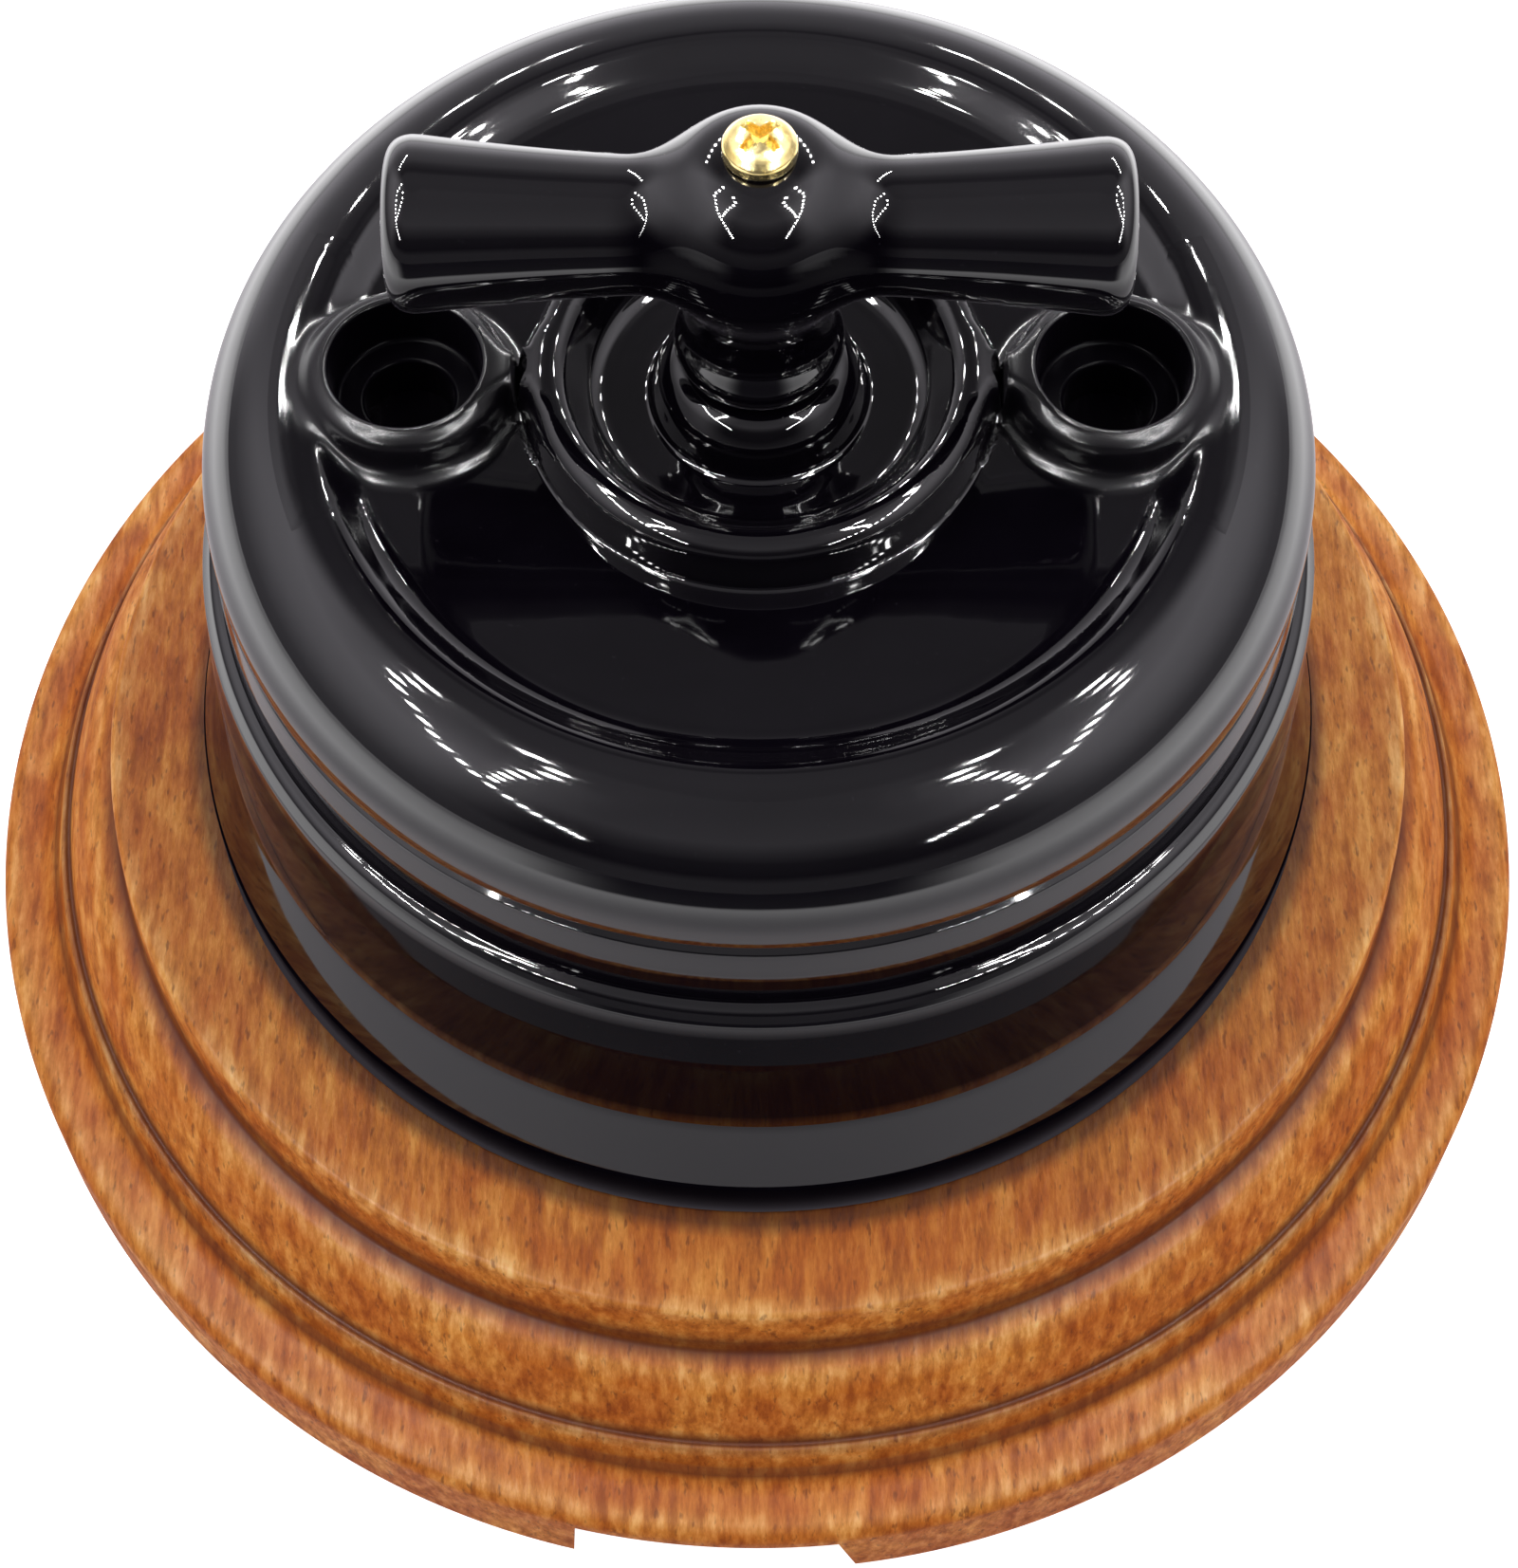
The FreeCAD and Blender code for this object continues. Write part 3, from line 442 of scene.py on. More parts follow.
def strip_faces(first_row, start, rows):
    """Faces of a strip of rings that begins at given points and goes on with new ones."""
    count = len(first_row)
    new = start + np.arange((rows - 1) * count).reshape(rows - 1, count)
    numbers = np.concatenate([first_row[None], new])
    ahead = np.roll(numbers, -1, axis=1)
    return np.stack([numbers[:-1], ahead[:-1], ahead[1:], numbers[1:]], axis=-1).reshape(-1, 4)


cover_line = rounded_line(cover_outline, closed=False, longest=0.62, turn=9.0)
inside_line = rounded_line(inside_outline, closed=False, longest=4.0, turn=20.0)
top_line = cover_line[cover_line[:, 1] > foot_z + 23.4]
whole_line = np.concatenate([cover_line, inside_line[1:-1]])


def cover_top(points):
    """Distance from the cover's top near a boss: the turned profile, the boss as a leaning cylinder
    cut off at its top, and the web as a waisted bar, all run together."""
    x, y, z = np.abs(points[:, 0]), points[:, 1], points[:, 2]
    dish = line_distance(np.stack([np.hypot(x, y), z], axis=1), top_line)
    side = (np.hypot(x - boss_x, y) - boss_r - (boss_z - z) * boss_lean) * math.cos(boss_lean)
    boss = smooth_max(side, z - boss_z, boss_round)
    along = np.clip((x - web_x) / web_reach, -1, 1)
    web = smooth_max((np.abs(y) - web_waist - web_flare * along ** 2) * 0.8, z - web_z, 0.7)
    web = smooth_max(web, np.abs(x - web_x) - web_half, 0.6)
    return smooth_min(smooth_min(dish, boss, 1.1), web, 0.9)


angles = cover_angles()
columns = len(angles)
cover_points = turned(whole_line, angles).reshape(-1, 3)
cover_faces = grid_faces(len(whole_line), columns, wrap_rows=True)
on_top = np.flatnonzero((whole_line[:, 0] < 26.7) & (whole_line[:, 0] > 10.4)
                        & (whole_line[:, 1] > floor_z - 0.5))
patch_rows = (on_top[0], on_top[-1])
face_row = np.arange(len(cover_faces)) // columns
face_column = np.arange(len(cover_faces)) % columns
kept = np.ones(len(cover_faces), bool)
strips = [cover_points]
faces = []
total = len(cover_points)
boss_path = rounded_line([(5.72, floor_z + 0.1), (5.4, boss_z - 0.2, 0.3), (5.1, boss_z),
                          (rim_inner_r, boss_z)], closed=False, longest=0.2)
bore_line = rounded_line([
    (rim_inner_r, boss_z), (4.15, boss_z, 0.3), (4.02, boss_z - 3.2, 0.35),
    (sleeve_r, boss_z - 3.2, 0.25), (sleeve_r, sleeve_low), (1.4, sleeve_low), (1.4, foot_z + 16.1),
    (3.7, foot_z + 16.1, 0.2), (3.7, floor_z - 2.5)], closed=False, longest=3.0, turn=20.0)
for first_column in (0, patch_columns + side_columns):
    last_column = first_column + patch_columns
    sign = 1 if first_column == 0 else -1
    kept &= ~((face_row >= patch_rows[0]) & (face_row < patch_rows[1])
              & (face_column >= first_column) & (face_column < last_column))
    loop = outer_loop(patch_rows, (first_column, last_column), columns)
    edge = cover_points[loop]
    facing = np.arctan2(edge[:, 1], edge[:, 0] - sign * boss_x)
    away = np.hypot(edge[:, 0] - sign * boss_x, edge[:, 1])
    share = np.linspace(0, 1, slope_rows + 1)[1:, None]
    radius = np.concatenate([away * (1 - share) + boss_path[0, 0] * share,
                             np.repeat(boss_path[1:, :1], len(loop), axis=1)])
    lift = np.concatenate([np.full((slope_rows, 1), floor_z), boss_path[1:, 1:]])
    x, y = sign * boss_x + radius * np.cos(facing), radius * np.sin(facing)
    order = np.argsort(top_line[:, 0])
    level = np.interp(np.hypot(x, y), top_line[order, 0], top_line[order, 1])
    z = np.maximum(level, lift)
    slope = settle(np.stack([x, y, z], axis=-1).reshape(-1, 3), cover_top)
    bore = turned(bore_line[1:], facing, (sign * boss_x, 0)).reshape(-1, 3)
    strips += [slope, bore]
    faces.append(strip_faces(loop, total, 1 + (len(slope) + len(bore)) // len(loop)))
    total += len(slope) + len(bore)
cover_faces = np.concatenate([cover_faces[kept]] + [f[:, ::-1] for f in faces])
cover = mesh_piece("glazed_cover", np.concatenate(strips), cover_faces, sharp=60.0, merge=1e-3)


def rising(value, start, span):
    """Even rise from 0 at the start to 1 after the span; a negative span falls instead."""
    return np.clip((value - start) / span, 0, 1)


# The glaze mirrors little where it lies thin, on the drafted wall, under the crease and in the screw
# holes, and it is softer over the bosses.
x, y, z = points_of(cover)
height, away = z - foot_z, np.hypot(x, y)
from_boss = np.hypot(np.abs(x) - boss_x, y)
near_boss = rising(from_boss, 7.2, -1.2) * (height > 17)
thin = rising(height, 4.2, 1.5) * rising(height, 16.9, -1.2) * (away > 31)
thin += (height > 17.6) * rising(height, 20.6, -0.5) * (away > 30.4)
thin += np.where(from_boss < 4.25, height > 17, 0.45 * near_boss)
store(cover, "thin_glaze", thin)
store(cover, "soft_glaze", near_boss)

glaze, tree, shader = new_finish("black_glaze", (0.0025, 0.0018, 0.0035), 0.035)
shader.inputs["IOR"].default_value = 1.52
shader.inputs["Sheen Weight"].default_value = 0.10
shader.inputs["Sheen Roughness"].default_value = 0.22
shader.inputs["Sheen Tint"].default_value = (0.95, 0.90, 1.0, 1.0)
tint = ramp(tree, grain(tree, 160, detail=2),
            [(0.35, (0.0020, 0.0013, 0.0030)), (0.65, (0.0032, 0.0024, 0.0045))])
specks = ramp(tree, grain(tree, 3800, detail=1), [(0.74, 0.0), (0.80, 1.0)])
tree.links.new(blended(tree, specks, tint, (0.010, 0.009, 0.012)), shader.inputs["Base Color"])
gloss = ramp(tree, grain(tree, 420, detail=3), [(0.3, 0.022), (0.7, 0.060)])
gloss = blended(tree, attribute(tree, "soft_glaze"), gloss, (0.24, 0.24, 0.24))
tree.links.new(gloss, shader.inputs["Roughness"])
add_bump(tree, shader, grain(tree, 210, detail=2, rough=0.4), 0.00003, 0.6, coat=False)
vary(tree, shader, "Specular IOR Level", attribute(tree, "thin_glaze"), [(0.0, 0.5), (1.0, 0.015)])
dress(cover, glaze, "body", ["porcelain_cover"])

# Porcelain base
# A pressed porcelain disc under the cover, of which only the rim shows, near-black between cover and
# wood. It keeps its solid's form, with every hole, and has the cover's glaze, wiped so thin that it
# mirrors nothing.
def smoothed_copy(name, node, sharp=30.0):
    """Copy of a solid's mesh with its points merged and its round faces shaded smooth."""
    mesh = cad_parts[node].data.copy()
    bm = bmesh.new()
    bm.from_mesh(mesh)
    bmesh.ops.remove_doubles(bm, verts=bm.verts, dist=1e-6)
    bm.to_mesh(mesh)
    bm.free()
    mesh.name = name
    mesh.shade_smooth()
    mesh.set_sharp_from_angle(angle=math.radians(sharp))
    piece = bpy.data.objects.new(name, mesh)
    bpy.context.scene.collection.objects.link(piece)
    return piece


base = smoothed_copy("glazed_base", "porcelain_base")
base_glaze = glaze.copy()
base_glaze.name = "base_glaze"
shader = base_glaze.node_tree.nodes["Principled BSDF"]
for link in list(shader.inputs["Specular IOR Level"].links):
    base_glaze.node_tree.links.remove(link)
shader.inputs["Specular IOR Level"].default_value = 0.0
dress(base, base_glaze, "body", ["porcelain_base"])

# Handle
# One piece of porcelain in the same black glaze: two round grips that flare to their ends, a hub like
# a ball flattened on top, and a waisted neck bored for the shaft. It turns with the shaft in clicks.
handle_low, handle_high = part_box("handle")
neck_z = handle_low.z / MM
hub_top = handle_high.z / MM
grip_end = handle_high.x / MM
grip_z = neck_z + 10.1
hub_z = neck_z + 10.6
hub_r = 5.7
neck_r = 3.85
grip_r = 3.5
flare_x = 5.0


def neck_radius(z):
    """Radius of the neck at a height: a foot bulge, a waist, and a flare into the hub."""
    up = z - neck_z
    return neck_r + 0.72 * np.exp(-((up - 0.9) / 1.25) ** 2) + 0.025 * np.maximum(up - 3.6, 0) ** 2


def handle_form(points):
    """Distance from the handle: grips as a flaring bar with rounded ends, the hub as a ball under a
    flat top, and the neck as a waisted post, run together with soft hollows between them."""
    x, y, z = np.abs(points[:, 0]), points[:, 1], points[:, 2]
    flare = np.clip((x - flare_x) / (grip_end - flare_x - 1.6), 0, 1) ** 1.5
    grip = smooth_max(np.hypot(y, z - grip_z) - grip_r - flare, x - grip_end, 1.5)
    ball = np.sqrt(x ** 2 + y ** 2 + (z - hub_z) ** 2) - hub_r
    hub = smooth_max(ball, z - hub_top, 0.9)
    neck = smooth_max(np.hypot(x, y) - neck_radius(z), neck_z - z, 0.55)
    neck = smooth_max(neck, z - hub_z + 1.5, 0.8)
    return smooth_min(smooth_min(grip, hub, 2.0), neck, 1.3)


grip_line = rounded_line([
    (-grip_end, 0), (-grip_end, 4.4, 1.3), (-6.6, grip_r, 4.0), (-4.0, 4.9, 2.0), (0, 5.8, 5.0),
    (4.0, 4.9, 2.0), (6.6, grip_r, 4.0), (grip_end, 4.4, 1.3), (grip_end, 0)],
    closed=False, longest=0.4)
across, neck_columns = 96, 36
facing = around(across)
x, radius = grip_line[:, :1], grip_line[:, 1:]
handle_points = np.stack(np.broadcast_arrays(x, radius * np.sin(facing),
                                             grip_z - radius * np.cos(facing)), axis=-1)
handle_points = np.roll(handle_points, neck_columns // 2, axis=1)
inner = np.flatnonzero(np.abs(grip_line[:, 0]) < 6.4)
hole_rows, hole_columns = (inner[0], inner[-1]), (0, neck_columns)
handle_points = settle(handle_points.reshape(-1, 3), handle_form, rounds=8)
handle_faces = grid_faces(len(grip_line), across)
face_row, face_column = np.arange(len(handle_faces)) // across, np.arange(len(handle_faces)) % across
kept = ~((face_row >= hole_rows[0]) & (face_row < hole_rows[1]) & (face_column < hole_columns[1]))
loop = outer_loop(hole_rows, hole_columns, across)
edge = handle_points[loop]
facing = np.arctan2(edge[:, 1], edge[:, 0])
join_z = neck_z + 4.4
bore_r, bore_top = 2.45, hub_top - 3.05
ring = np.stack([neck_radius(join_z) * np.cos(facing), neck_radius(join_z) * np.sin(facing),
                 np.full(len(loop), join_z)], axis=-1)
share = np.linspace(0, 1, slope_rows + 1)[1:, None, None]
web = settle((edge * (1 - share) + ring * share).reshape(-1, 3), handle_form, rounds=8)
neck_line = np.array([(neck_radius(z), z) for z in np.linspace(join_z, neck_z + 0.35, 16)[1:]])
neck = settle(turned(neck_line, facing).reshape(-1, 3), handle_form)
sole_line = rounded_line([(4.3, neck_z + 0.12), (3.9, neck_z, 0.2), (bore_r, neck_z, 0.15),
                          (bore_r, bore_top), (0, bore_top)], closed=False, longest=6.0)
sole = turned(sole_line, facing).reshape(-1, 3)
rows = 1 + (len(web) + len(neck) + len(sole)) // len(loop)
neck_faces = strip_faces(loop, len(handle_points), rows)[:, ::-1]
handle = mesh_piece("dog_bone_handle", np.concatenate([handle_points, web, neck, sole]),
                    np.concatenate([handle_faces[kept], neck_faces]), sharp=60.0, merge=1e-3)

# The glaze is also thin on the underside of the hub.
x, y, z = points_of(handle)
under_hub = rising(z, hub_z + 3.4, -1.5) * rising(z, neck_z + 5.0, 1.0)
store(handle, "thin_glaze", under_hub * rising(np.abs(x), 7.6, -1.5))
dress(handle, glaze, "rotor", ["handle"])

# Handle screw
# A turned brass pan-head screw with a pressed cross recess, through the handle into the shaft's end.
screw_low, screw_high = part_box("handle_screw")
head_r, shank_r = 1.9, 1.25
head_columns = 120
recess_depth, arm_half, arm_end = 0.72, 0.34, 1.2
head_top = screw_high.z / MM
shank_low = screw_low.z / MM


def cross_recess(x, y):
    """Depth of the cross recess: two bars across each other, steep at their sides and sloping up
    towards their ends, deepest in the middle."""
    def bar(along, beside):
        wide = np.clip((arm_half - 0.10 * np.abs(along) - np.abs(beside)) / 0.09, 0, 1)
        return wide * np.clip((arm_end - np.abs(along)) / 0.42, 0, 1)
    u, v = (x + y) * math.sqrt(0.5), (x - y) * math.sqrt(0.5)
    return recess_depth * np.maximum(bar(u, v), bar(v, u))


head_line = rounded_line([(0, head_top), (1.0, head_top - 0.06, 3.0), (1.55, head_top - 0.36, 0.8),
                          (head_r, hub_top + 0.62, 0.35), (head_r, hub_top, 0.1), (shank_r, hub_top),
                          (shank_r, shank_low), (0, shank_low)], closed=False, longest=0.06)
fine = (head_line[:, 1] > hub_top + 0.01) | (head_line[:, 0] > shank_r + 0.05)
head_line = head_line[fine | (np.arange(len(head_line)) % 12 == 0)]
head_points = turned(head_line, around(head_columns)).reshape(-1, 3)
on_head = head_points[:, 2] > hub_top + 0.3
head_points[:, 2] -= np.where(on_head, cross_recess(head_points[:, 0], head_points[:, 1]), 0)
screw = mesh_piece("brass_screw", head_points, grid_faces(len(head_line), head_columns), sharp=30.0)

brass, tree, shader = new_finish("brass", (0.86, 0.60, 0.22), 0.20, metallic=1.0)
vary(tree, shader, "Base Color", grain(tree, 700, detail=3),
     [(0.3, (0.74, 0.56, 0.20)), (0.7, (0.90, 0.76, 0.38))])
vary(tree, shader, "Roughness", grain(tree, 2600, detail=3), [(0.3, 0.13), (0.7, 0.30)])
add_bump(tree, shader, grain(tree, 5200, (1, 1, 0.2), detail=2), 0.000006, coat=False)
dress(screw, brass, "rotor", ["handle_screw"])

# Brass pieces inside
# Contacts, terminals, pillars and bushes are cut from brass bar and strip, in the screw's brass.
for name in ("cover_posts", "fixed_contacts", "terminal_blocks", "contact_bridge", "lower_bush",
             "upper_bush", "bridge_pillars"):
    dress(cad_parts[name], brass)

# Screws, bolts, nuts and the bearing plate
# Zinc-plated steel, turned and stamped: a cool grey with faint cloudy patches and fine tool marks.
zinc, tree, shader = new_finish("zinc_steel", (0.56, 0.56, 0.54), 0.34, metallic=1.0)
vary(tree, shader, "Base Color", grain(tree, 520, detail=4),
     [(0.3, (0.46, 0.46, 0.45)), (0.7, (0.66, 0.66, 0.63))])
vary(tree, shader, "Roughness", grain(tree, 1900, detail=3), [(0.3, 0.26), (0.7, 0.45)])
add_bump(tree, shader, grain(tree, 4200, (1, 1, 0.15), detail=2), 0.000008, coat=False)
for name in ("cover_screws", "post_screws", "frame_screws", "terminal_screws", "mechanism_bolts",
             "mechanism_nuts", "bearing_plate", "handle_lock_washer"):
    dress(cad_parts[name], zinc)

# Shaft, cam, pins and clip
# Ground bright steel, with rings of fine grinding marks round the shaft.
steel, tree, shader = new_finish("bright_steel", (0.60, 0.59, 0.57), 0.22, metallic=1.0)
marks = grain(tree, 900, (0.3, 0.3, 9.0), detail=3)
vary(tree, shader, "Base Color", marks, [(0.3, (0.50, 0.49, 0.47)), (0.7, (0.68, 0.67, 0.65))])
vary(tree, shader, "Roughness", marks, [(0.3, 0.16), (0.7, 0.32)])
add_bump(tree, shader, marks, 0.000005, coat=False)
for name in ("switch_shaft", "detent_cam", "spring_pins", "retaining_ring"):
    dress(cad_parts[name], steel)

# Leaf springs
# Blued spring strip, rolled at its ends round the pins, dark with straw-coloured heat tints.
blued, tree, shader = new_finish("spring_steel", (0.14, 0.16, 0.24), 0.28, metallic=1.0)
vary(tree, shader, "Base Color", grain(tree, 260, (1, 0.2, 0.4), detail=2),
     [(0.3, (0.08, 0.10, 0.20)), (0.55, (0.20, 0.19, 0.22)), (0.8, (0.40, 0.28, 0.14))])
vary(tree, shader, "Roughness", grain(tree, 3000, (0.1, 1, 1), detail=2), [(0.3, 0.22), (0.7, 0.40)])
dress(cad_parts["detent_springs"], blued)

# Contact block
# Pressed and fired steatite, cream-coloured and unglazed, with a fine dry grain.
steatite, tree, shader = new_finish("steatite", (0.78, 0.73, 0.62), 0.62)
clay = ramp(tree, grain(tree, 700, detail=5), [(0.3, (0.68, 0.62, 0.50)), (0.7, (0.84, 0.80, 0.70))])
spots = ramp(tree, grain(tree, 4200, detail=1), [(0.70, 0.0), (0.78, 1.0)])
tree.links.new(blended(tree, spots, clay, (0.42, 0.34, 0.24)), shader.inputs["Base Color"])
vary(tree, shader, "Roughness", grain(tree, 2400, detail=3), [(0.3, 0.52), (0.7, 0.74)])
add_bump(tree, shader, grain(tree, 3400, detail=4), 0.00002, coat=False)
dress(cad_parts["contact_block"], steatite)

# Contact carrier
# Moulded dark brown phenolic with a mottled filler, satin from the mould.
phenolic, tree, shader = new_finish("bakelite", (0.06, 0.022, 0.010), 0.30)
vary(tree, shader, "Base Color", grain(tree, 900, detail=5),
     [(0.35, (0.030, 0.012, 0.006)), (0.7, (0.105, 0.040, 0.018))])
vary(tree, shader, "Roughness", grain(tree, 1700, detail=3), [(0.3, 0.22), (0.7, 0.42)])
add_bump(tree, shader, grain(tree, 2600, detail=3), 0.000012, coat=False)
dress(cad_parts["contact_carrier"], phenolic)

# Thrust washer
# Punched from red-brown vulcanised fibre, with fibres lying in the sheet.
fibre, tree, shader = new_finish("fibre", (0.22, 0.06, 0.035), 0.75)
vary(tree, shader, "Base Color", grain(tree, 2600, (0.2, 1, 1), detail=4),
     [(0.3, (0.15, 0.038, 0.022)), (0.7, (0.32, 0.10, 0.055))])
add_bump(tree, shader, grain(tree, 4200, (0.2, 1, 1), detail=3), 0.00002, coat=False)
dress(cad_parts["thrust_washer"], fibre)

# Bridge rivets
# Soft copper-coloured rivets, headed cold, with a dull worked surface.
copper, tree, shader = new_finish("copper_rivet", (0.70, 0.34, 0.18), 0.32, metallic=1.0)
vary(tree, shader, "Base Color", grain(tree, 1500, detail=4),
     [(0.3, (0.52, 0.22, 0.11)), (0.7, (0.82, 0.45, 0.27))])
vary(tree, shader, "Roughness", grain(tree, 2800, detail=2), [(0.3, 0.25), (0.7, 0.46)])
dress(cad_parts["bridge_rivets"], copper)

# Floor
# A plain white table that keeps the switch's soft shadow and shows as pure white round it. The glaze
# mirrors it brighter beside and behind the switch than in front, where it is dark from 15 cm away.
def flat_sheet(name, size, z):
    """Square sheet of one face, level with a height."""
    half = size / 2
    corners = np.array([(-half, -half, z), (half, -half, z), (half, half, z), (-half, half, z)])
    return mesh_piece(name, corners / MM, [[0, 1, 2, 3]])


def reckon(tree, operation, first, second=0.0):
    """One step of arithmetic on values or sockets."""
    step = tree.nodes.new("ShaderNodeMath")
    step.operation = operation
    for socket, value in zip(step.inputs, (first, second)):
        if isinstance(value, bpy.types.NodeSocket):
            tree.links.new(value, socket)
        else:
            socket.default_value = value
    return step.outputs[0]


def between(tree, value, low, high):
    """Smooth step from 0 at the low value to 1 at the high one."""
    span = tree.nodes.new("ShaderNodeMapRange")
    span.interpolation_type = "SMOOTHSTEP"
    span.inputs["From Min"].default_value = low
    span.inputs["From Max"].default_value = high
    tree.links.new(value, span.inputs["Value"])
    return span.outputs["Result"]


table_size, table_drop = 6.0, 0.00002
floor = flat_sheet("floor", table_size, -table_drop)
white, tree, shader = new_finish("white_table", (0.80, 0.80, 0.80), 0.6)
light_path = tree.nodes.new("ShaderNodeLightPath")
spot = tree.nodes.new("ShaderNodeTexCoord")
parts = tree.nodes.new("ShaderNodeSeparateXYZ")
tree.links.new(spot.outputs["Object"], parts.inputs["Vector"])
away = tree.nodes.new("ShaderNodeVectorMath")
away.operation = "LENGTH"
tree.links.new(spot.outputs["Object"], away.inputs[0])
away = away.outputs["Value"]
behind = reckon(tree, "DIVIDE", parts.outputs["Y"], away)
reach = between(tree, away, 0.07, 0.16)
fade = reckon(tree, "SUBTRACT", 1.0, reckon(tree, "MULTIPLY", between(tree, away, 0.2, 0.9), 0.6))
beside = reckon(tree, "MULTIPLY", between(tree, behind, -0.95, -0.35), 0.7)
straight_ahead = reckon(tree, "SUBTRACT", 1.0, between(tree, behind, -0.95, -0.75))
front_edge = reckon(tree, "SUBTRACT", 1.0,
                    reckon(tree, "MULTIPLY", between(tree, away, 0.15, 0.18), straight_ahead))
mirrored = reckon(tree, "MULTIPLY", reach, fade)
mirrored = reckon(tree, "MULTIPLY", mirrored, reckon(tree, "ADD", beside, 1.3))
mirrored = reckon(tree, "MULTIPLY", mirrored, front_edge)
# Painted light: for mirrored rays the table glows, brighter beside and behind the switch, and from 15 cm
# away in front its colour is painted dark.
glow = tree.nodes.new("ShaderNodeEmission")
glow.inputs["Color"].default_value = (1, 1, 1, 1)
seen = reckon(tree, "MULTIPLY", light_path.outputs["Is Glossy Ray"], mirrored)
tree.links.new(reckon(tree, "ADD", light_path.outputs["Is Camera Ray"], seen), glow.inputs["Strength"])
dark_ahead = reckon(tree, "MULTIPLY", light_path.outputs["Is Glossy Ray"],
                    reckon(tree, "SUBTRACT", 1.0, front_edge))
shade = blended(tree, dark_ahead, (0.80, 0.80, 0.80), (0.05, 0.05, 0.06))
tree.links.new(shade, shader.inputs["Base Color"])
both = tree.nodes.new("ShaderNodeAddShader")
output = tree.nodes["Material Output"]
tree.links.new(shader.outputs["BSDF"], both.inputs[0])
tree.links.new(glow.outputs["Emission"], both.inputs[1])
tree.links.new(both.outputs["Shader"], output.inputs["Surface"])
floor.data.materials.append(white)

# Light
# A white tent, open and so darker towards the camera. Rows of small lamps run back over both sides of
# the switch and show in the glaze as chains of dots. They are only mirrored, so the tent and a soft
# lamp above, which isn't mirrored, light the wood.
world = bpy.data.worlds.new("tent")
bpy.context.scene.world = world
world.use_nodes = True
sky = world.node_tree
background = sky.nodes["Background"]
direction = sky.nodes.new("ShaderNodeTexCoord")
split = sky.nodes.new("ShaderNodeSeparateXYZ")
sky.links.new(direction.outputs["Generated"], split.inputs["Vector"])
tent_scale = 2.5


def tent_wall(levels):
    """Brightness up one side of the tent, from (elevation in degrees, brightness) pairs."""
    stops = [(math.sin(math.radians(up)), level / tent_scale) for up, level in levels]
    return ramp(sky, split.outputs["Z"], stops)


front_wall = tent_wall([(0, 0.25), (10, 0.25), (17, 0.06), (30, 0.10), (40, 0.30), (50, 0.55),
                        (65, 0.50), (90, 0.45)])
side_wall = tent_wall([(0, 0.4), (8, 0.5), (16, 0.8), (30, 1.4), (46, 1.8), (56, 1.5), (68, 0.9),
                       (75, 0.55), (90, 0.45)])
back_wall = tent_wall([(0, 1.8), (9, 1.4), (17, 0.95), (24, 0.75), (38, 0.60), (46, 0.34), (54, 0.20),
                       (58, 0.24), (61, 0.38), (72, 0.42), (90, 0.40)])
rise = split.outputs["Z"]
level = reckon(sky, "SQRT", reckon(sky, "SUBTRACT", 1.001, reckon(sky, "MULTIPLY", rise, rise)))
back_share = reckon(sky, "DIVIDE", split.outputs["Y"], level)
tent = blended(sky, between(sky, back_share, -0.85, -0.40), front_wall, side_wall)
tent = blended(sky, between(sky, back_share, 0.50, 0.85), tent, back_wall)
tent = blended(sky, 1.0, tent, (tent_scale, tent_scale * 0.96, tent_scale * 1.03), "MULTIPLY")
seen_by = sky.nodes.new("ShaderNodeLightPath")
tent = blended(sky, seen_by.outputs["Is Camera Ray"], tent, (1.0, 1.0, 1.0))
sky.links.new(tent, background.inputs["Color"])
background.inputs["Strength"].default_value = 1.0

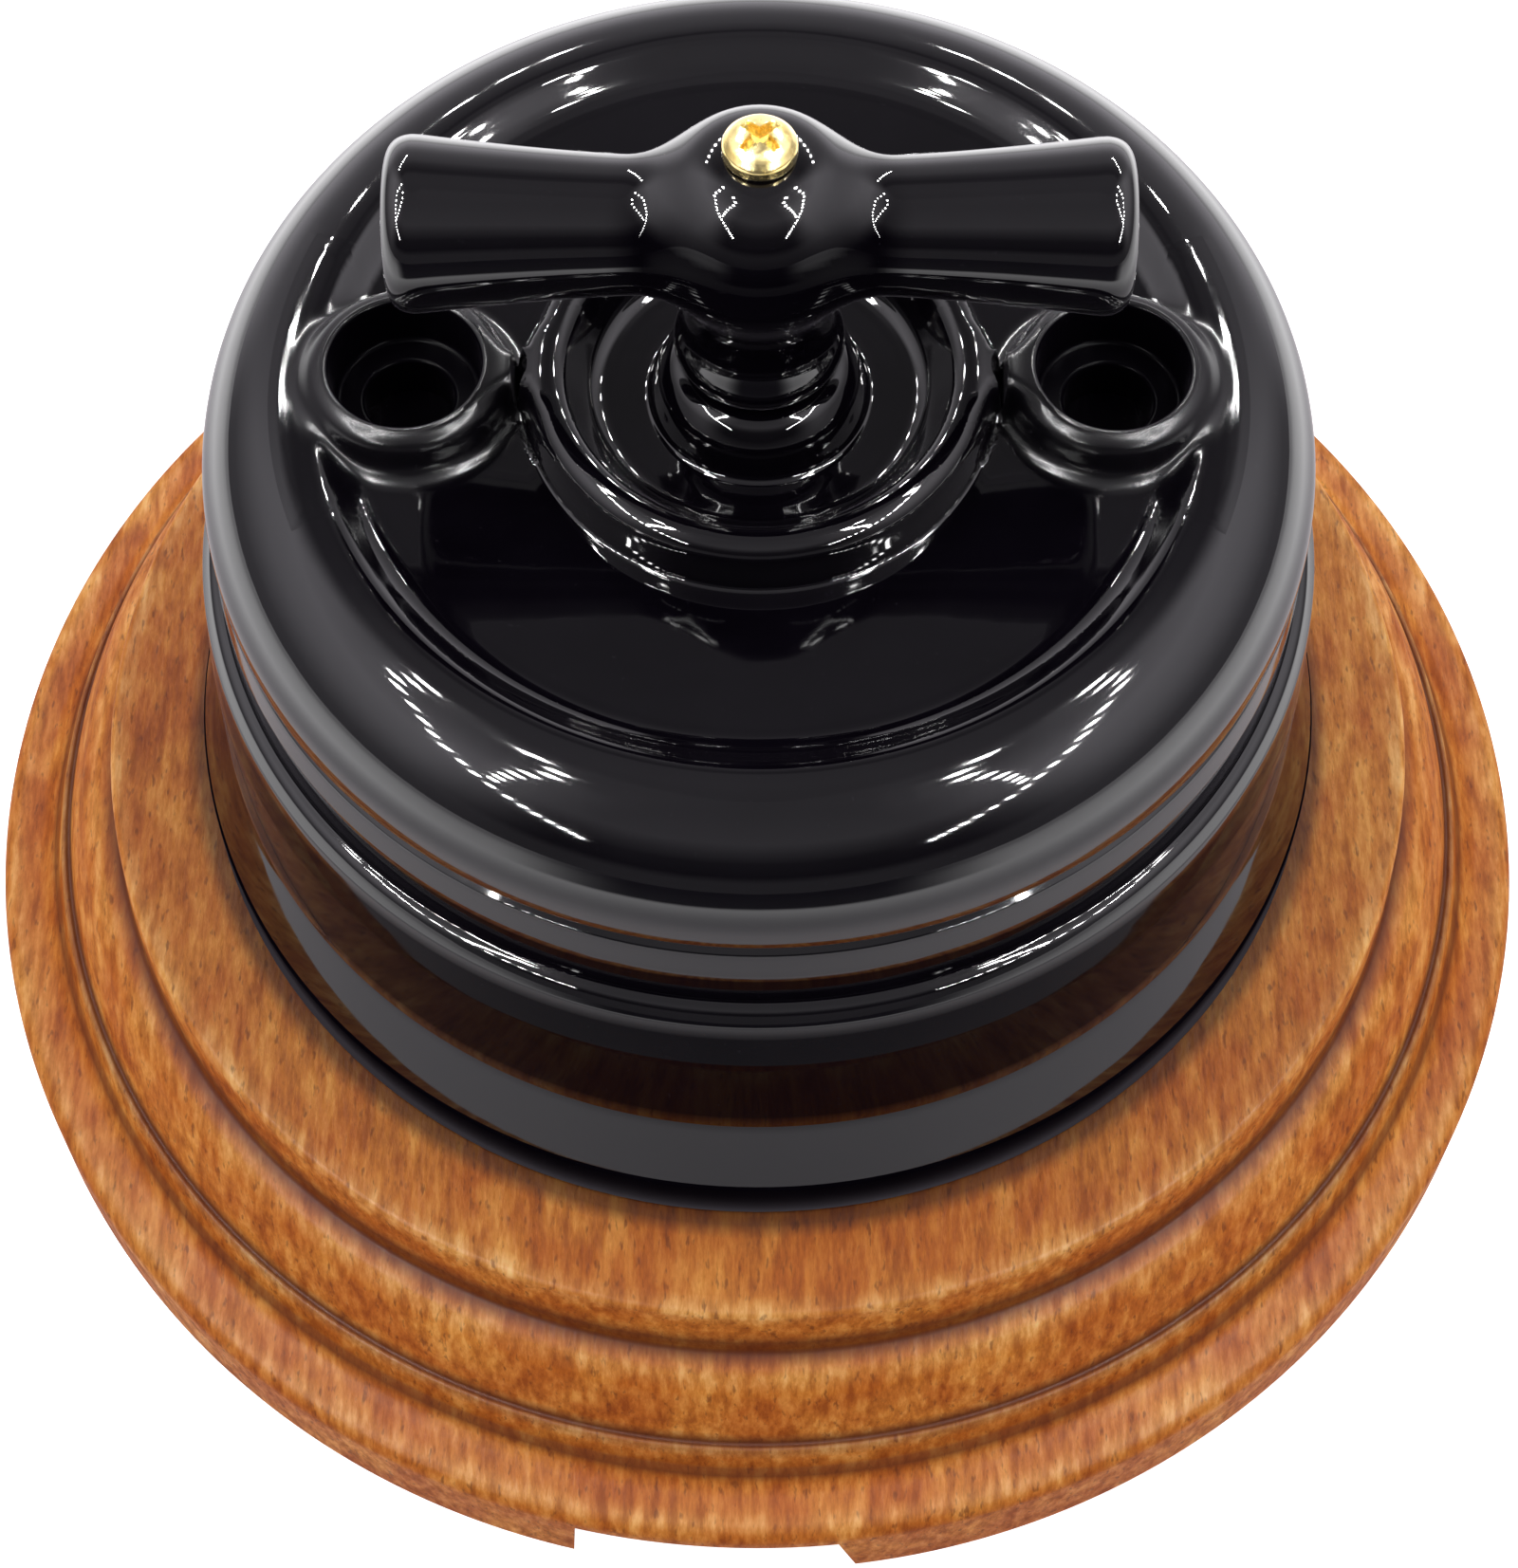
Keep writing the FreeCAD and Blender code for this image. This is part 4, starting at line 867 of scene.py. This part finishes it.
switch_middle = 0.05
lamp_height = 0.30
lamp_side = 0.010
lamp_gap = 0.036
lamp_power = 0.14
outer_row = [(0.93, -1.60), (0.93, -1.23), (0.94, -0.73), (0.86, -0.36), (0.72, -0.10), (0.645, 0.08),
             (0.45, 0.18), (0.356, 0.268)]
inner_row = [(0.80, -0.60), (0.31, -0.13), (0.30, 0.10)]
back_row = [(0.62, 0.78), (0.48, 1.10), (0.26, 1.62)]


def lamp(name, place, size, power, shows=True):
    """Square area lamp at a place in metres, facing the switch: one that shows is only mirrored, and
    one that doesn't only lights what isn't."""
    place, aim = Vector(place), Vector((0, 0, switch_middle))
    light = bpy.data.lights.new(name, "AREA")
    light.shape = "SQUARE"
    light.size = size
    light.energy = power
    rig = bpy.data.objects.new(name, light)
    rig.location = place
    rig.rotation_euler = (aim - place).to_track_quat("-Z", "Y").to_euler()
    rig.visible_glossy = shows
    rig.visible_diffuse = not shows
    bpy.context.scene.collection.objects.link(rig)


for row_name, row in (("outer", outer_row), ("inner", inner_row), ("back", back_row)):
    row = np.array(row) * lamp_height
    run = np.concatenate([[0], np.cumsum(np.linalg.norm(np.diff(row, axis=0), axis=1))])
    for step, place in enumerate(np.arange(0, run[-1], lamp_gap)):
        x, y = np.interp(place, run, row[:, 0]), np.interp(place, run, row[:, 1])
        for side in (-1, 1):
            lamp(f"{row_name}_{step}_{side}", (side * x, y, switch_middle + lamp_height), lamp_side,
                 lamp_power)
lamp("soft_top", (0.0, 0.25, 1.1), 0.9, 0.8, shows=False)

# Camera
# Looks down at the switch from in front, as the photograph does.
photo_width = 1600
focal_pixels = 3500.0
sensor = 36.0
camera_data = bpy.data.cameras.new("camera")
camera_data.sensor_fit = "HORIZONTAL"
camera_data.sensor_width = sensor
camera_data.lens = focal_pixels / photo_width * sensor
camera_data.shift_x = 1.4 / photo_width
camera = bpy.data.objects.new("camera", camera_data)
aim_z = 0.0088933
camera_distance = 0.21904
lean = math.radians(90 - 60.751)
roll = 0.0035
camera_place = (0, -camera_distance * math.sin(lean), aim_z + camera_distance * math.cos(lean))
camera.matrix_world = (Matrix.Translation(camera_place)
                       @ Matrix.Rotation(lean, 4, "X") @ Matrix.Rotation(roll, 4, "Z"))
bpy.context.scene.collection.objects.link(camera)
bpy.context.scene.camera = camera

bpy.context.scene.view_settings.view_transform = "Standard"
